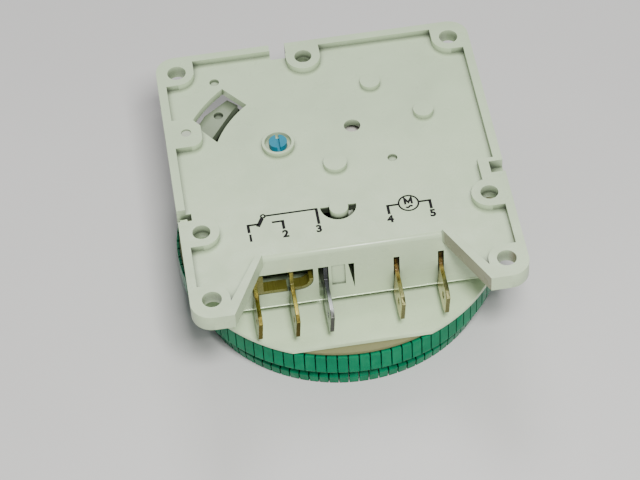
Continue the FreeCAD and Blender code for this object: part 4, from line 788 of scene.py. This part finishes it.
class TIMESWITCH_OT_scale(bpy.types.Operator):
    """Print the 24-hour scale on the dial's face"""

    bl_idname = "time_switch.scale"
    bl_label = "Dial scale"

    def execute(self, context):
        black = bpy.data.materials.get("print_ink") or ink("print_ink", tuple(look().ink_colour))
        shapes = []
        for index in range(QUARTERS):
            turn = -index * 2 * math.pi / QUARTERS
            length = 2.6 if index % 4 == 0 else 1.5 if index % 2 == 0 else 1.0
            width = 0.28 if index % 4 == 0 else 0.18
            tick = np.array([(0, TICK_END - length), (0, TICK_END)]) * MM
            shapes.append(moved(ribbon(tick, width * MM), 0, 0, turn))
        for hour in range(HOURS):
            points, faces = glyph(str(hour), HOUR_HEIGHT, 0.01)
            turn = -hour * 2 * math.pi / HOURS
            shapes.append(moved((points + (0, HOUR_RADIUS), faces), 0, 0, turn))
        shapes.append(ring(0, 0, SCALE_RING, 0.2 * MM, 96))
        level = DIAL_FACE - look().ink_lift
        vertices, faces = on_dial(join_shapes(shapes), level)
        add_mesh("hour_scale", vertices, faces, black, "dial")
        return {"FINISHED"}


class TIMESWITCH_OT_stage(bpy.types.Operator):
    """Set the floor, the lights and the camera"""

    bl_idname = "time_switch.stage"
    bl_label = "Floor, lights and camera"

    def execute(self, context):
        self.add_floor()
        for light in LIGHTS:
            self.add_light(*light)
        world = context.scene.world or bpy.data.worlds.new("studio")
        context.scene.world = world
        world.use_nodes = True
        background = world.node_tree.nodes["Background"]
        background.inputs["Color"].default_value = (*SKY_COLOUR, 1)
        background.inputs["Strength"].default_value = SKY_STRENGTH
        self.add_camera(context)
        return {"FINISHED"}

    def add_floor(self):
        """Flat square floor at the height that the trippers rest on."""
        side = np.linspace(-FLOOR_HALF, FLOOR_HALF, FLOOR_LINES)
        x, y = np.meshgrid(side, side)
        points = np.column_stack([x.ravel(), y.ravel(), np.full(x.size, -FLOOR_DROP)])
        cells = np.arange(FLOOR_LINES - 1)
        row, column = np.meshgrid(cells, cells, indexing="ij")
        first = (row * FLOOR_LINES + column).ravel()
        above = first + FLOOR_LINES
        faces = np.stack([first, first + 1, above + 1, above], axis=1)
        mesh = bpy.data.meshes.new("floor")
        mesh.from_pydata(points.tolist(), [], faces.tolist())
        floor = bpy.data.objects.new("floor", mesh)
        bpy.context.scene.collection.objects.link(floor)
        recipe = Recipe("floor_paper")
        recipe.colour(recipe.ramp(recipe.noise(9, 3), [
            (0.3, (0.60, 0.60, 0.585)), (0.7, (0.64, 0.64, 0.625))]))
        recipe.rough(recipe.spread(recipe.noise(400, 2), 0.75, 0.9))
        recipe.normal(recipe.bump(recipe.noise(1500, 3), 0.08, 0.0001))
        mesh.materials.append(recipe.material)

    def add_light(self, name, place, size, power, colour):
        """Square area light that looks at the object."""
        light = bpy.data.lights.new(name, "AREA")
        light.shape = "SQUARE"
        light.size = size
        light.energy = power
        light.color = colour
        lamp = bpy.data.objects.new(name, light)
        bpy.context.scene.collection.objects.link(lamp)
        lamp.location = place
        aim = Vector(LIGHT_TARGET) - Vector(place)
        lamp.rotation_euler = aim.to_track_quat("-Z", "Y").to_euler()

    def add_camera(self, context):
        """Camera of the photograph: its three axes, its place and its lens."""
        data = bpy.data.cameras.new("photo_camera")
        data.sensor_fit = "HORIZONTAL"
        data.sensor_width = SENSOR_WIDTH
        data.lens = SENSOR_WIDTH * FOCAL_PIXELS / PHOTO_PIXELS
        data.clip_start = 0.02
        data.clip_end = 20
        camera = bpy.data.objects.new("photo_camera", data)
        context.scene.collection.objects.link(camera)
        axes = Matrix((Vector(CAMERA_RIGHT), -Vector(CAMERA_DOWN), -Vector(CAMERA_FORWARD)))
        camera.matrix_world = Matrix.Translation(CAMERA_PLACE) @ axes.transposed().to_4x4()
        context.scene.camera = camera


STEPS = (
    TIMESWITCH_OT_cover,
    TIMESWITCH_OT_dial,
    TIMESWITCH_OT_terminals,
    TIMESWITCH_OT_levers,
    TIMESWITCH_OT_movement,
    TIMESWITCH_OT_diagram,
    TIMESWITCH_OT_scale,
    TIMESWITCH_OT_stage,
)


class TIMESWITCH_PT_panel(bpy.types.Panel):
    """Sidebar panel with the settings and one button for each group of pieces"""

    bl_idname = "TIMESWITCH_PT_panel"
    bl_label = "Time switch module"
    bl_space_type = "VIEW_3D"
    bl_region_type = "UI"
    bl_category = "Time Switch"

    def draw(self, context):
        column = self.layout.column()
        for name in SwitchLook.__annotations__:
            column.prop(context.scene.time_switch_look, name)
        for step in STEPS:
            column.operator(step.bl_idname)


def register():
    bpy.utils.register_class(SwitchLook)
    for step in STEPS:
        bpy.utils.register_class(step)
    bpy.utils.register_class(TIMESWITCH_PT_panel)
    bpy.types.Scene.time_switch_look = PointerProperty(type=SwitchLook)


def unregister():
    del bpy.types.Scene.time_switch_look
    bpy.utils.unregister_class(TIMESWITCH_PT_panel)
    for step in reversed(STEPS):
        bpy.utils.unregister_class(step)
    bpy.utils.unregister_class(SwitchLook)


def main():
    register()
    bpy.ops.time_switch.cover()
    bpy.ops.time_switch.dial()
    bpy.ops.time_switch.terminals()
    bpy.ops.time_switch.levers()
    bpy.ops.time_switch.movement()
    bpy.ops.time_switch.diagram()
    bpy.ops.time_switch.scale()
    bpy.ops.time_switch.stage()


if __name__ == "__main__":
    main()
